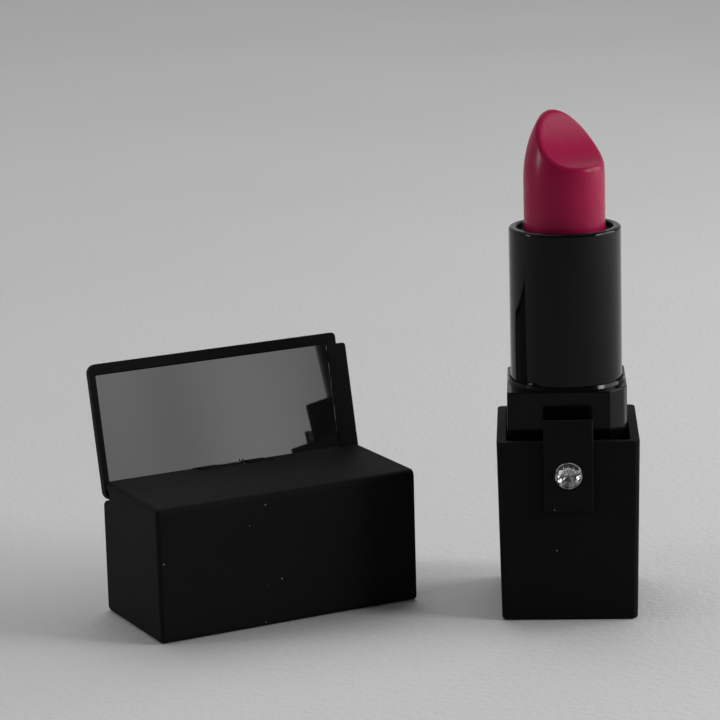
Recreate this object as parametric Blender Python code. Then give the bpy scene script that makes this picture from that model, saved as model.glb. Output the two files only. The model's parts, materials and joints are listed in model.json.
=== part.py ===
"""Square lipstick case with a twist-up bullet and a lift-off cap that carries a hinged mirror door.

Metres, +Z up. The base unit stands at the origin with its front strip towards -Y.
The cap lies beside it on its back wall, mouth towards the base, with its mirror door open.
"""
import math

import bmesh
import bpy
from mathutils import Vector

MM = 0.001

# base casing
CASING_WIDTH = 20.6 * MM
CASING_DEPTH = 23.1 * MM
CASING_HEIGHT = 27.3 * MM
CASING_WALL = 1.2 * MM
CASING_FLOOR = 1.5 * MM
CASING_CORNER = 0.9 * MM
CASING_INNER_CORNER = 0.3 * MM
CASING_FOOT_EDGE = 0.55 * MM
INSERT_CORNER = 0.8 * MM
WEIGHT_HEIGHT = 8.0 * MM
WEIGHT_WELL_RADIUS = 3.0 * MM
WEIGHT_WELL_DEPTH = 4.0 * MM
SEAT_HEIGHT = 8.8 * MM
SEAT_FLOOR_WALL = 1.5 * MM
SEAT_GAP = 0.3 * MM

# collar block above the casing's rim
COLLAR_RISE = 6.6 * MM
COLLAR_CLEARANCE = 0.2 * MM
COLLAR_WALL = 0.35 * MM
COLLAR_CUT_WIDTH = 2.6 * MM
COLLAR_CUT_DEPTH = 4.0 * MM
COLLAR_CUT_BELLY = (1.95 * MM, 2.5 * MM)
COLLAR_FRONT_CORNER = 0.5 * MM
COLLAR_BACK_CORNER = 0.9 * MM
COLLAR_EDGE = 0.2 * MM
RING_RISE = 0.5 * MM
RING_SLOPE = 0.1 * MM
RING_WALL = 0.25 * MM
RING_ROOT = 2.0 * MM

# tube, spiral, guide and cup, from the outside in
TUBE_RISE = 23.4 * MM
TUBE_SINK = 10.7 * MM
TUBE_CLEARANCE = 0.15 * MM
TUBE_WALL = 0.45 * MM
TUBE_LIP_WIDTH = 1.15 * MM
TUBE_LIP_HEIGHT = 0.7 * MM
TUBE_EDGE = 0.45 * MM
TUBE_INNER_EDGE = 0.27 * MM
SLEEVE_WALL = 0.45 * MM
SLEEVE_CLEARANCE = 0.15 * MM
SLEEVE_GROOVE_DEPTH = 0.33 * MM
SLEEVE_GROOVE_HEIGHT = 2.1 * MM
SLEEVE_GROOVE_OVER = math.radians(8)
GUIDE_WALL = 0.4 * MM
GUIDE_FLANGE = 0.9 * MM
GUIDE_FLANGE_HEIGHT = 1.2 * MM
RING_HEIGHT = 1.4 * MM
CUP_CLEARANCE = 0.2 * MM
CUP_WALL = 0.4 * MM
CUP_HEIGHT = 8.0 * MM
CUP_FLOOR = 0.8 * MM
CUP_DROP = 1.2 * MM
LUG_SIZE = 1.2 * MM
LUG_HEIGHT = 1.4 * MM
LUG_REACH = 0.95 * MM
SLOT_CLEARANCE = 0.25 * MM
TWIST_TURNS = 1.25

# lipstick bullet
BULLET_RISE = 19.0 * MM
BULLET_STRAIGHT = 7.0 * MM
BULLET_STEP = 0.5 * MM
BULLET_TAPER = 1.24
BULLET_FOOT_GAP = 0.2 * MM
BULLET_CUT_TURN = math.radians(-48)
BULLET_CUT_LOW = 9.4 * MM
BULLET_CUT_REACH = 5.9 * MM
BULLET_CUT_CURVE = 109.5
TIP_MARGIN = 1.0 * MM

# front strip and its stone
STRIP_WIDTH = 7.3 * MM
STRIP_HEIGHT = 13.8 * MM
STRIP_RISE = 3.4 * MM
STRIP_THICKNESS = 0.75 * MM
STRIP_GAP = 0.15 * MM
STRIP_EDGE = 0.25 * MM
STRIP_CORNER = 0.3 * MM
PEG_RADIUS = 0.6 * MM
PEG_LENGTH = 1.0 * MM
STONE_RADIUS = 1.9 * MM
STONE_DROP = 8.3 * MM
STONE_CROWN = 0.75 * MM
STONE_PAVILION = 1.0 * MM
STONE_TABLE = 1.05 * MM
STONE_CULET = 0.5 * MM
SETTING_WALL = 0.12 * MM

# cap
HEADROOM = 11.0 * MM
CAP_END_WALL = 1.4 * MM
CAP_FRONT_WALL = 1.15 * MM
CAP_CLEARANCE = 0.2 * MM
CAP_CORNER = 0.9 * MM
CAP_END_EDGE = 0.7 * MM
CAP_PLACE = (-46.7 * MM, -2.5 * MM)
CAP_TURN = math.radians(30.4)

# mirror door and its hinge
DOOR_THICKNESS = 2.3 * MM
DOOR_GAP = 0.35 * MM
DOOR_EDGE = 1.1 * MM
DOOR_END_CORNER = 1.0 * MM
DOOR_MOUTH_CORNER = 0.3 * MM
DOOR_OPEN = math.radians(103)
DOOR_SHORTFALL = 0.85 * MM
TONGUE_REACH = 0.7 * MM
TONGUE_INSET = 1.8 * MM
TONGUE_CLEARANCE = 0.25 * MM
PIVOT_INSET = 2.1 * MM
PIVOT_DROP = 0.6 * MM
PIN_RADIUS = 0.35 * MM
PIN_CLEARANCE = 0.1 * MM
PIN_LENGTH = 22.0 * MM
PIN_CHAMFER = 0.15 * MM
KNUCKLE_RADIUS = 0.75 * MM
KNUCKLE_SPAN = 12.0 * MM
KNUCKLE_CLEARANCE = 0.25 * MM
TROUGH_LEDGE = 0.3 * MM
TROUGH_CLEARANCE = 0.35 * MM
TROUGH_STEP = 0.45 * MM
TROUGH_NECK = 1.1 * MM
SPRING_SPAN = 4.0 * MM
SPRING_WIRE = 0.12 * MM
SPRING_RADIUS = 0.62 * MM
SPRING_TURNS = 6
SPRING_LOW_LEG = 1.4 * MM
SPRING_HIGH_LEG = 1.4 * MM
MIRROR_END_BORDER = 0.9 * MM
MIRROR_MOUTH_BORDER = 1.75 * MM
MIRROR_EDGE_BORDER = 1.7 * MM
MIRROR_HINGE_BORDER = 2.5 * MM
MIRROR_THICKNESS = 0.9 * MM
MIRROR_RECESS = 0.1 * MM
TAPE_THICKNESS = 0.2 * MM
TAPE_INSET = 1.0 * MM
MIRROR_CORNER = 0.2 * MM
TAPE_CORNER = 0.5 * MM
PART_GAP = 0.13 * MM

# cutters: how far they pass a face, how far a joined piece sinks in, and what counts as level
RUN_OUT = 1.0 * MM
SINK = 0.3 * MM
LEVEL = 0.01 * MM

# sizes that follow from the ones above
COLLAR_FRONT = DOOR_THICKNESS + DOOR_GAP + CAP_FRONT_WALL + CAP_CLEARANCE
COLLAR_WIDTH = CASING_WIDTH - 2 * (CASING_WALL + COLLAR_CLEARANCE)
COLLAR_DEPTH = CASING_DEPTH - COLLAR_FRONT - CASING_WALL - COLLAR_CLEARANCE
COLLAR_TOP = CASING_HEIGHT + COLLAR_RISE
COLLAR_FACE_Y = -CASING_DEPTH / 2 + COLLAR_FRONT
AXIS_Y = COLLAR_FACE_Y + COLLAR_DEPTH / 2
TUBE_RADIUS = min(COLLAR_WIDTH, COLLAR_DEPTH) / 2 - COLLAR_WALL - TUBE_CLEARANCE
TUBE_TOP = COLLAR_TOP + TUBE_RISE
TUBE_BOTTOM = COLLAR_TOP - TUBE_SINK
SLEEVE_RADIUS = TUBE_RADIUS - TUBE_WALL - TUBE_CLEARANCE
GUIDE_RADIUS = SLEEVE_RADIUS - SLEEVE_WALL - SLEEVE_CLEARANCE
CUP_RADIUS = GUIDE_RADIUS - GUIDE_WALL - CUP_CLEARANCE
BULLET_RADIUS = CUP_RADIUS - BULLET_STEP
WEIGHT_BOTTOM = CASING_FLOOR + SEAT_GAP
SEAT_BOTTOM = WEIGHT_BOTTOM + WEIGHT_HEIGHT + SEAT_GAP
SEAT_FLOOR = SEAT_BOTTOM + SEAT_FLOOR_WALL
COLLAR_BOTTOM = SEAT_BOTTOM + SEAT_HEIGHT + SEAT_GAP
GUIDE_TOP = TUBE_TOP - TUBE_LIP_HEIGHT - SEAT_GAP
CUP_TOP = TUBE_TOP - CUP_DROP
CUP_BOTTOM = CUP_TOP - CUP_HEIGHT
STROKE = BULLET_RISE + TIP_MARGIN
LUG_HALF = LUG_SIZE / 2
LUG_Z = CUP_BOTTOM + LUG_HEIGHT
CAP_LENGTH = COLLAR_RISE + TUBE_RISE + HEADROOM + CAP_END_WALL
CAP_HEIGHT = CASING_DEPTH - DOOR_THICKNESS - DOOR_GAP
PIVOT = Vector((0, CASING_WIDTH / 2 - PIVOT_INSET, CAP_HEIGHT - PIVOT_DROP))


# ---------------------------------------------------------------- helpers
def material(name, colour, roughness, metallic=0.0, transmission=0.0):
    made = bpy.data.materials.new(name)
    made.use_nodes = True
    shader = made.node_tree.nodes["Principled BSDF"]
    shader.inputs["Base Color"].default_value = (*colour, 1)
    shader.inputs["Roughness"].default_value = roughness
    shader.inputs["Metallic"].default_value = metallic
    shader.inputs["Transmission Weight"].default_value = transmission
    return made


def add_object(name, mesh_data, surface=None, parent=None):
    """Turn a bmesh into a scene object with its faces pointing out."""
    bmesh.ops.recalc_face_normals(mesh_data, faces=mesh_data.faces)
    mesh = bpy.data.meshes.new(name)
    mesh_data.to_mesh(mesh)
    mesh_data.free()
    thing = bpy.data.objects.new(name, mesh)
    bpy.context.collection.objects.link(thing)
    if surface:
        mesh.materials.append(surface)
    thing.parent = parent
    return thing


def arc(centre, radius, start, end, steps):
    """Points from one angle to another, in degrees, both ends kept."""
    points = []
    for step in range(steps + 1):
        angle = math.radians(start + (end - start) * step / steps)
        points.append((centre[0] + radius * math.cos(angle), centre[1] + radius * math.sin(angle)))
    return points


def rounded_rectangle(low, high, radii, steps=4):
    """Outline from corner to corner, anticlockwise; radii start at the low corner."""
    corners = [(low[0], low[1], 1, 1), (high[0], low[1], -1, 1)]
    corners += [(high[0], high[1], -1, -1), (low[0], high[1], 1, -1)]
    outline = []
    for index, (x, y, right, up) in enumerate(corners):
        radius = radii[index]
        if radius:
            start = 180 + 90 * index
            outline += arc((x + right * radius, y + up * radius), radius, start, start + 90, steps)
        else:
            outline.append((x, y))
    return outline


def prism(name, outline, start, end, surface=None, parent=None, axis="Z"):
    """A closed outline carried along Z, X or Y."""
    places = {
        "Z": lambda a, b, along: (a, b, along),
        "X": lambda a, b, along: (along, a, b),
        "Y": lambda a, b, along: (a, along, b),
    }
    place = places[axis]
    shape = bmesh.new()
    low = [shape.verts.new(place(a, b, start)) for a, b in outline]
    high = [shape.verts.new(place(a, b, end)) for a, b in outline]
    shape.faces.new(low)
    shape.faces.new(reversed(high))
    for index in range(len(outline)):
        after = (index + 1) % len(outline)
        shape.faces.new((low[index], high[index], high[after], low[after]))
    return add_object(name, shape, surface, parent)


def block(name, low, high, surface=None, parent=None):
    outline = [(low[0], low[1]), (high[0], low[1]), (high[0], high[1]), (low[0], high[1])]
    return prism(name, outline, low[2], high[2], surface, parent)


def turned(name, profile, steps, surface=None, parent=None, axis="Z", centre=(0, 0, 0)):
    """A closed profile of (radius, height) points turned about an axis; radius 0 makes a pole."""
    shape = bmesh.new()
    rings = []
    for radius, height in profile:
        count = steps if radius > 0 else 1
        ring = []
        for step in range(count):
            angle = 2 * math.pi * step / steps
            across, up = radius * math.cos(angle), radius * math.sin(angle)
            offset = {"Z": (across, up, height), "X": (height, across, up), "Y": (across, height, up)}[axis]
            ring.append(shape.verts.new(Vector(centre) + Vector(offset)))
        rings.append(ring)
    for index, ring in enumerate(rings):
        other = rings[(index + 1) % len(rings)]
        if len(ring) == 1 and len(other) == 1:
            continue
        for step in range(steps):
            after = (step + 1) % steps
            corners = [ring[step % len(ring)], ring[after % len(ring)]]
            corners += [other[after % len(other)], other[step % len(other)]]
            shape.faces.new(list(dict.fromkeys(corners)))
    return add_object(name, shape, surface, parent)


def soften(thing, width, segments, wanted):
    """Bevel the edges whose two ends both pass the test."""
    shape = bmesh.new()
    shape.from_mesh(thing.data)
    edges = [edge for edge in shape.edges if all(wanted(vertex.co) for vertex in edge.verts)]
    bmesh.ops.bevel(shape, geom=edges, offset=width, segments=segments, profile=0.5, affect="EDGES")
    shape.to_mesh(thing.data)
    shape.free()
    return thing


def boolean(thing, other, operation):
    step = thing.modifiers.new(operation.title(), "BOOLEAN")
    step.operation = operation
    step.solver = "EXACT"
    step.object = other
    other.hide_render = True
    other.display_type = "WIRE"
    return thing


def cut(thing, *others):
    for other in others:
        boolean(thing, other, "DIFFERENCE")
    return thing


def join(thing, *others):
    for other in others:
        boolean(thing, other, "UNION")
    return thing


def shade_round(thing, angle=35):
    thing.data.shade_smooth()
    thing.data.set_sharp_from_angle(angle=math.radians(angle))
    return thing


def empty(name, location, parent=None):
    made = bpy.data.objects.new(name, None)
    made.location = location
    made.parent = parent
    bpy.context.collection.objects.link(made)
    return made


# ---------------------------------------------------------------- base unit
def make_casing(surface):
    half_width, half_depth = CASING_WIDTH / 2, CASING_DEPTH / 2
    outline = rounded_rectangle((-half_width, -half_depth), (half_width, half_depth), [CASING_CORNER] * 4)
    casing = prism("base_casing", outline, 0, CASING_HEIGHT, surface)
    soften(casing, CASING_FOOT_EDGE, 3, lambda point: point.z < LEVEL)
    hollow = inner_outline(0, CASING_INNER_CORNER)
    cut(casing, prism("casing_hollow", hollow, CASING_FLOOR, CASING_HEIGHT + RUN_OUT))
    outside, inside = -half_depth - RUN_OUT, -half_depth + CASING_WALL + RUN_OUT
    radius = PEG_RADIUS + STRIP_GAP
    for index, z in enumerate(peg_heights()):
        hole = [(radius, outside), (radius, inside), (0, inside), (0, outside)]
        cut(casing, turned(f"peg_hole_{index}", hole, 24, axis="Y", centre=(0, 0, z)))
    radius = STONE_RADIUS + PART_GAP + SETTING_WALL + STRIP_GAP
    floor = stone_back_y() + STRIP_GAP
    well = [(radius, outside), (radius, floor), (0, floor), (0, outside)]
    cut(casing, turned("stone_well", well, 32, axis="Y", centre=(0, 0, stone_z())))
    return casing


def inner_outline(gap, corner):
    """The casing's inner wall, or a piece that fits inside it with a gap."""
    half_width = CASING_WIDTH / 2 - CASING_WALL - gap
    half_depth = CASING_DEPTH / 2 - CASING_WALL - gap
    return rounded_rectangle((-half_width, -half_depth), (half_width, half_depth), [corner] * 4)


def make_weight(surface):
    outline = inner_outline(SEAT_GAP, INSERT_CORNER)
    top = WEIGHT_BOTTOM + WEIGHT_HEIGHT
    weight = prism("base_weight", outline, WEIGHT_BOTTOM, top, surface)
    floor, radius = top - WEIGHT_WELL_DEPTH, WEIGHT_WELL_RADIUS
    well = [(radius, floor), (radius, top + RUN_OUT), (0, top + RUN_OUT), (0, floor)]
    return cut(weight, turned("weight_well", well, 32, centre=(0, AXIS_Y, 0)))


def make_mechanism_seat(surface):
    top = SEAT_BOTTOM + SEAT_HEIGHT
    seat = prism("mechanism_seat", inner_outline(SEAT_GAP, INSERT_CORNER), SEAT_BOTTOM, top, surface)
    radius = GUIDE_RADIUS + GUIDE_FLANGE + TUBE_CLEARANCE
    pocket = [(radius, SEAT_FLOOR), (radius, top + RUN_OUT), (0, top + RUN_OUT), (0, SEAT_FLOOR)]
    return cut(seat, turned("seat_pocket", pocket, 48, centre=(0, AXIS_Y, 0)))


def make_collar(surface):
    """Block round the tube, with one front corner cut back for the hinge trough of the closed cap."""
    right, left = COLLAR_WIDTH / 2, -COLLAR_WIDTH / 2
    front, back = COLLAR_FACE_Y, COLLAR_FACE_Y + COLLAR_DEPTH
    small, large = COLLAR_FRONT_CORNER, COLLAR_BACK_CORNER
    outline = arc((left + small, front + small), small, 180, 270, 4)
    outline += [(right - COLLAR_CUT_WIDTH, front)]
    outline += [(right - COLLAR_CUT_WIDTH + COLLAR_CUT_BELLY[0], front + COLLAR_CUT_BELLY[1])]
    outline += [(right, front + COLLAR_CUT_DEPTH)]
    outline += arc((right - large, back - large), large, 0, 90, 4)
    outline += arc((left + large, back - large), large, 90, 180, 4)
    collar = prism("collar_block", outline, COLLAR_BOTTOM, COLLAR_TOP, surface)
    soften(collar, COLLAR_EDGE, 2, lambda point: point.z > COLLAR_TOP - LEVEL)
    bore = TUBE_RADIUS + TUBE_CLEARANCE
    root, top = COLLAR_TOP - RING_ROOT, COLLAR_TOP + RING_RISE
    ring = [(bore - SINK, root), (bore + RING_WALL, root), (bore + RING_WALL, COLLAR_TOP)]
    ring += [(bore + RING_WALL - RING_SLOPE, top), (bore - SINK, top)]
    join(collar, turned("collar_ring", ring, 64, centre=(0, AXIS_Y, 0)))
    low, high = COLLAR_BOTTOM - RUN_OUT, COLLAR_TOP + RUN_OUT
    hole = [(0, low), (bore, low), (bore, high), (0, high)]
    return cut(collar, turned("collar_bore", hole, 64, centre=(0, AXIS_Y, 0)))


def strip_back_y():
    return -CASING_DEPTH / 2 - STRIP_GAP


def strip_top_z():
    return CASING_HEIGHT + STRIP_RISE


def stone_z():
    return strip_top_z() - STONE_DROP


def stone_back_y():
    return strip_back_y() - STRIP_THICKNESS + STONE_PAVILION + SETTING_WALL + PART_GAP


def peg_heights():
    """The pegs sit between the stone and the strip's lower end, and between the stone and the rim."""
    low = (strip_top_z() - STRIP_HEIGHT + stone_z() - STONE_RADIUS) / 2
    high = (CASING_HEIGHT + stone_z() + STONE_RADIUS) / 2
    return low, high


def make_strip(surface):
    back, top = strip_back_y(), strip_top_z()
    front, middle = back - STRIP_THICKNESS, back - STRIP_THICKNESS / 2
    low, high = (-STRIP_WIDTH / 2, top - STRIP_HEIGHT), (STRIP_WIDTH / 2, top)
    outline = rounded_rectangle(low, high, [STRIP_CORNER] * 4, 2)
    strip = prism("front_strip", outline, front, back, surface, axis="Y")
    soften(strip, STRIP_EDGE, 2, lambda point: point.y < middle)
    for index, z in enumerate(peg_heights()):
        end = back + PEG_LENGTH
        peg = [(0, middle), (PEG_RADIUS, middle), (PEG_RADIUS, end), (0, end)]
        join(strip, turned(f"strip_peg_{index}", peg, 24, axis="Y", centre=(0, 0, z)))
    radius = STONE_RADIUS + PART_GAP + SETTING_WALL + PART_GAP
    outside, inside = front - RUN_OUT, back + RUN_OUT
    hole = [(0, outside), (radius, outside), (radius, inside), (0, inside)]
    return cut(strip, turned("strip_hole", hole, 32, axis="Y", centre=(0, 0, stone_z())))


def make_stone(stone_surface, setting_surface):
    girdle = strip_back_y() - STRIP_THICKNESS
    crown, culet = girdle - STONE_CROWN, girdle + STONE_PAVILION - PART_GAP
    profile = [(0, crown), (STONE_TABLE, crown), (STONE_RADIUS, girdle), (STONE_CULET, culet), (0, culet)]
    stone = turned("rhinestone", profile, 16, stone_surface, axis="Y", centre=(0, 0, stone_z()))
    inside, outside = STONE_RADIUS + PART_GAP, STONE_RADIUS + PART_GAP + SETTING_WALL
    rim, back = girdle - PART_GAP, stone_back_y() - PART_GAP / 2
    profile = [(inside, rim), (outside, rim), (outside, back), (0, back)]
    profile += [(0, back - SETTING_WALL), (inside, back - SETTING_WALL)]
    setting = turned("stone_setting", profile, 32, setting_surface, axis="Y", centre=(0, 0, stone_z()))
    return stone, setting


# ---------------------------------------------------------------- twist-up mechanism
def make_guide(surface, axis):
    """Slotted guide tube: fixed in the base, it keeps the cup from turning."""
    outside, inside = GUIDE_RADIUS, GUIDE_RADIUS - GUIDE_WALL
    bottom = SEAT_FLOOR + SEAT_GAP
    shelf, flange = bottom + GUIDE_FLANGE_HEIGHT, outside + GUIDE_FLANGE
    profile = [(inside, bottom), (flange, bottom), (flange, shelf)]
    profile += [(outside, shelf), (outside, GUIDE_TOP), (inside, GUIDE_TOP)]
    guide = turned("guide_tube", profile, 48, surface, axis)
    half_slot = LUG_HALF + SLOT_CLEARANCE
    low, high = LUG_Z - STROKE - half_slot, LUG_Z + half_slot
    slot = block("guide_slots", (-flange, -half_slot, low), (flange, half_slot, high), parent=axis)
    return cut(guide, slot)


def make_ring(name, bottom, height, surface, axis):
    inside = GUIDE_RADIUS + SLEEVE_CLEARANCE
    outside = SLEEVE_RADIUS
    profile = [(inside, bottom), (outside, bottom), (outside, bottom + height), (inside, bottom + height)]
    return turned(name, profile, 48, surface, axis)


def make_tube(surface, axis):
    outside, inside = TUBE_RADIUS, TUBE_RADIUS - TUBE_WALL
    lip, shelf = outside - TUBE_LIP_WIDTH, TUBE_TOP - TUBE_LIP_HEIGHT
    profile = [(inside, TUBE_BOTTOM), (outside, TUBE_BOTTOM)]
    profile += arc((outside - TUBE_EDGE, TUBE_TOP - TUBE_EDGE), TUBE_EDGE, 0, 90, 4)
    profile += arc((lip + TUBE_INNER_EDGE, TUBE_TOP - TUBE_INNER_EDGE), TUBE_INNER_EDGE, 90, 180, 3)
    profile += [(lip, shelf), (inside, shelf)]
    return turned("outer_tube", profile, 64, surface, axis)


def groove_cutter(name, turn, axis):
    """A band of the groove's section swept down the helix that the cup's lug follows."""
    wall = SLEEVE_RADIUS - SLEEVE_WALL
    inside, outside = wall - SINK, wall + SLEEVE_GROOVE_DEPTH
    full = 2 * math.pi * TWIST_TURNS
    steps = 60
    half = SLEEVE_GROOVE_HEIGHT / 2
    shape = bmesh.new()
    sections = []
    for step in range(steps + 1):
        angle = -SLEEVE_GROOVE_OVER + (full + 2 * SLEEVE_GROOVE_OVER) * step / steps
        z = LUG_Z - STROKE * angle / full
        section = []
        for radius, rise in ((inside, -half), (outside, -half), (outside, half), (inside, half)):
            where = (radius * math.cos(angle + turn), radius * math.sin(angle + turn), z + rise)
            section.append(shape.verts.new(where))
        sections.append(section)
    shape.faces.new(sections[0])
    shape.faces.new(reversed(sections[-1]))
    for one, two in zip(sections, sections[1:]):
        for corner in range(4):
            after = (corner + 1) % 4
            shape.faces.new((one[corner], two[corner], two[after], one[after]))
    return add_object(name, shape, parent=axis)


def make_sleeve(surface, axis):
    """Spiral sleeve: turns with the tube and drives the lugs up its two helical grooves."""
    outside, inside = SLEEVE_RADIUS, SLEEVE_RADIUS - SLEEVE_WALL
    bottom = sleeve_bottom()
    profile = [(inside, bottom), (outside, bottom), (outside, GUIDE_TOP), (inside, GUIDE_TOP)]
    sleeve = turned("spiral_sleeve", profile, 48, surface, axis)
    return cut(sleeve, groove_cutter("groove_a", 0, axis), groove_cutter("groove_b", math.pi, axis))


def sleeve_bottom():
    return TUBE_BOTTOM + 2 * (RING_HEIGHT + SEAT_GAP) + SEAT_GAP


def make_cup(surface, axis):
    outside, inside = CUP_RADIUS, CUP_RADIUS - CUP_WALL
    floor = CUP_BOTTOM + CUP_FLOOR
    profile = [(0, CUP_BOTTOM), (outside, CUP_BOTTOM), (outside, CUP_TOP)]
    profile += [(inside, CUP_TOP), (inside, floor), (0, floor)]
    cup = turned("bullet_cup", profile, 48, surface, axis)
    for index, side in enumerate((1, -1)):
        ends = sorted((side * (outside - CUP_WALL / 2), side * (outside + LUG_REACH)))
        low, high = (ends[0], -LUG_HALF, LUG_Z - LUG_HALF), (ends[1], LUG_HALF, LUG_Z + LUG_HALF)
        join(cup, block(f"cup_lug_{index}", low, high, parent=axis))
    return cup


def make_bullet(surface, axis):
    """Domed stick of wax whose slant is one shallow scoop."""
    foot = CUP_RADIUS - CUP_WALL - BULLET_FOOT_GAP
    foot_bottom, shoulder = CUP_BOTTOM + CUP_FLOOR + SEAT_GAP, CUP_TOP + SEAT_GAP
    straight_top = TUBE_TOP + BULLET_STRAIGHT
    dome = BULLET_RISE - BULLET_STRAIGHT
    profile = [(0, foot_bottom), (foot, foot_bottom), (foot, shoulder), (BULLET_RADIUS, shoulder)]
    steps = 12
    for step in range(steps):
        rise = math.radians(90 * step / steps)
        radius = BULLET_RADIUS * math.cos(rise) ** BULLET_TAPER
        profile.append((radius, straight_top + dome * math.sin(rise)))
    profile.append((0, straight_top + dome))
    bullet = turned("lipstick_bullet", profile, 48, surface, axis)
    reach = BULLET_RADIUS + RUN_OUT
    scoop = []
    for step in range(steps + 1):
        across = -reach + 2 * reach * step / steps
        rise = BULLET_CUT_CURVE * (BULLET_CUT_REACH - across) ** 2
        scoop.append((across, TUBE_TOP + BULLET_CUT_LOW + rise))
    scoop.append((reach, scoop[0][1]))
    knife = prism("bullet_knife", scoop, -reach, reach, parent=axis, axis="Y")
    knife.rotation_euler = (0, 0, BULLET_CUT_TURN)
    return cut(bullet, knife)


# ---------------------------------------------------------------- cap and mirror door
def cap_section():
    """Outline across the cap in (side, up), with the trough that the door's hinge edge swings into."""
    half, top = CASING_WIDTH / 2, CAP_HEIGHT
    outline = arc((-half + CAP_CORNER, CAP_CORNER), CAP_CORNER, 180, 270, 5)
    outline += arc((half - CAP_CORNER, CAP_CORNER), CAP_CORNER, 270, 360, 5)
    hang = PIVOT.z - PIVOT_INSET - TROUGH_CLEARANCE - KNUCKLE_CLEARANCE
    wall = PIVOT.y - PART_GAP
    outline += [(half, hang), (wall + TROUGH_LEDGE, hang), (wall, hang + TROUGH_STEP)]
    outline += [(wall, PIVOT.z - TROUGH_NECK)]
    outline += arc((PIVOT.y, PIVOT.z), KNUCKLE_RADIUS, -50, 50, 6)
    outline += [(PIVOT.y + KNUCKLE_RADIUS / 2, top)]
    outline += arc((-half + CAP_CORNER, top - CAP_CORNER), CAP_CORNER, 90, 180, 5)
    return outline


def make_cap(surface, place):
    half, end = CASING_WIDTH / 2, CAP_LENGTH / 2
    cap = prism("cap_shell", cap_section(), -end, end, surface, place, axis="X")
    soften(cap, CAP_END_EDGE, 3, lambda point: point.x < -end + LEVEL)
    side = half - CASING_WALL
    roof = CAP_HEIGHT - CAP_FRONT_WALL
    right = COLLAR_WIDTH / 2 + COLLAR_CLEARANCE
    inner = [(-side, CASING_WALL), (side, CASING_WALL), (side, roof - COLLAR_CUT_DEPTH)]
    inner += [(right - COLLAR_CUT_WIDTH, roof), (-side, roof)]
    cut(cap, prism("cap_hollow", inner, -end + CAP_END_WALL, end + RUN_OUT, parent=place, axis="X"))
    reach = KNUCKLE_RADIUS + KNUCKLE_CLEARANCE
    long_half = KNUCKLE_SPAN / 2 + KNUCKLE_CLEARANCE
    low = (-long_half, PIVOT.y - reach, PIVOT.z - reach)
    high = (long_half, half + RUN_OUT, CAP_HEIGHT + RUN_OUT)
    cut(cap, block("hinge_pocket", low, high, parent=place))
    hole = PIN_RADIUS + PIN_CLEARANCE
    pin_end = PIN_LENGTH / 2 + SEAT_GAP
    profile = [(0, -pin_end), (hole, -pin_end), (hole, pin_end), (0, pin_end)]
    return cut(cap, turned("pin_hole", profile, 20, parent=place, axis="X", centre=PIVOT))


def door_span():
    """The plate's ends along the cap, and its free and hinge edges across it, from the pivot."""
    end = CAP_LENGTH / 2
    free, hinge = -CASING_WIDTH / 2 - PIVOT.y, CASING_WIDTH / 2 - PIVOT.y
    return -end, end - DOOR_SHORTFALL, free, hinge


def door_face():
    return CAP_HEIGHT + DOOR_GAP - PIVOT.z


def make_door(surface, pivot):
    left, right, free, hinge = door_span()
    inner, outer = door_face(), door_face() + DOOR_THICKNESS
    corners = [DOOR_END_CORNER, DOOR_MOUTH_CORNER, DOOR_MOUTH_CORNER, DOOR_END_CORNER]
    plate = rounded_rectangle((left, free), (right, hinge), corners)
    door = prism("door_frame", plate, inner, outer, surface, pivot)
    soften(door, DOOR_EDGE, 3, lambda point: point.z > outer - LEVEL)
    low = (right - RUN_OUT, free + TONGUE_INSET, inner)
    tongue_outer = outer - CASING_WALL - TONGUE_CLEARANCE
    high = (CAP_LENGTH / 2 + TONGUE_REACH, hinge - TONGUE_INSET, tongue_outer)
    join(door, block("door_tongue", low, high, parent=pivot))
    radius = KNUCKLE_RADIUS
    web = [(-radius, 0)] + arc((0, 0), radius, 180, 360, 10)[1:-1] + [(radius, 0)]
    web += [(radius, inner + SINK), (-radius / 2, inner + SINK), (-radius / 2, radius)]
    for index, side in enumerate((1, -1)):
        ends = sorted((side * SPRING_SPAN / 2, side * KNUCKLE_SPAN / 2))
        join(door, prism(f"door_knuckle_{index}", web, ends[0], ends[1], parent=pivot, axis="X"))
    hole = PIN_RADIUS + PIN_CLEARANCE
    profile = [(0, -KNUCKLE_SPAN), (hole, -KNUCKLE_SPAN), (hole, KNUCKLE_SPAN), (0, KNUCKLE_SPAN)]
    cut(door, turned("knuckle_hole", profile, 20, parent=pivot, axis="X"))
    low, high = mirror_span()
    depth = MIRROR_RECESS + MIRROR_THICKNESS + TAPE_THICKNESS + 2 * PART_GAP
    low = (low[0] - PART_GAP, low[1] - PART_GAP, inner - RUN_OUT)
    high = (high[0] + PART_GAP, high[1] + PART_GAP, inner + depth)
    return cut(door, block("mirror_bed", low, high, parent=pivot))


def mirror_span():
    left, right, free, hinge = door_span()
    low = (left + MIRROR_END_BORDER, free + MIRROR_EDGE_BORDER)
    high = (right - MIRROR_MOUTH_BORDER, hinge - MIRROR_HINGE_BORDER)
    return low, high


def make_mirror(glass_surface, tape_surface, pivot):
    low, high = mirror_span()
    face = door_face() + MIRROR_RECESS
    back = face + MIRROR_THICKNESS
    outline = rounded_rectangle(low, high, [MIRROR_CORNER] * 4, 2)
    glass = prism("mirror_glass", outline, face, back, glass_surface, pivot)
    low, high = (low[0] + TAPE_INSET, low[1] + TAPE_INSET), (high[0] - TAPE_INSET, high[1] - TAPE_INSET)
    outline = rounded_rectangle(low, high, [TAPE_CORNER] * 4, 2)
    start = back + PART_GAP
    tape = prism("mirror_tape", outline, start, start + TAPE_THICKNESS, tape_surface, pivot)
    return glass, tape


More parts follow.
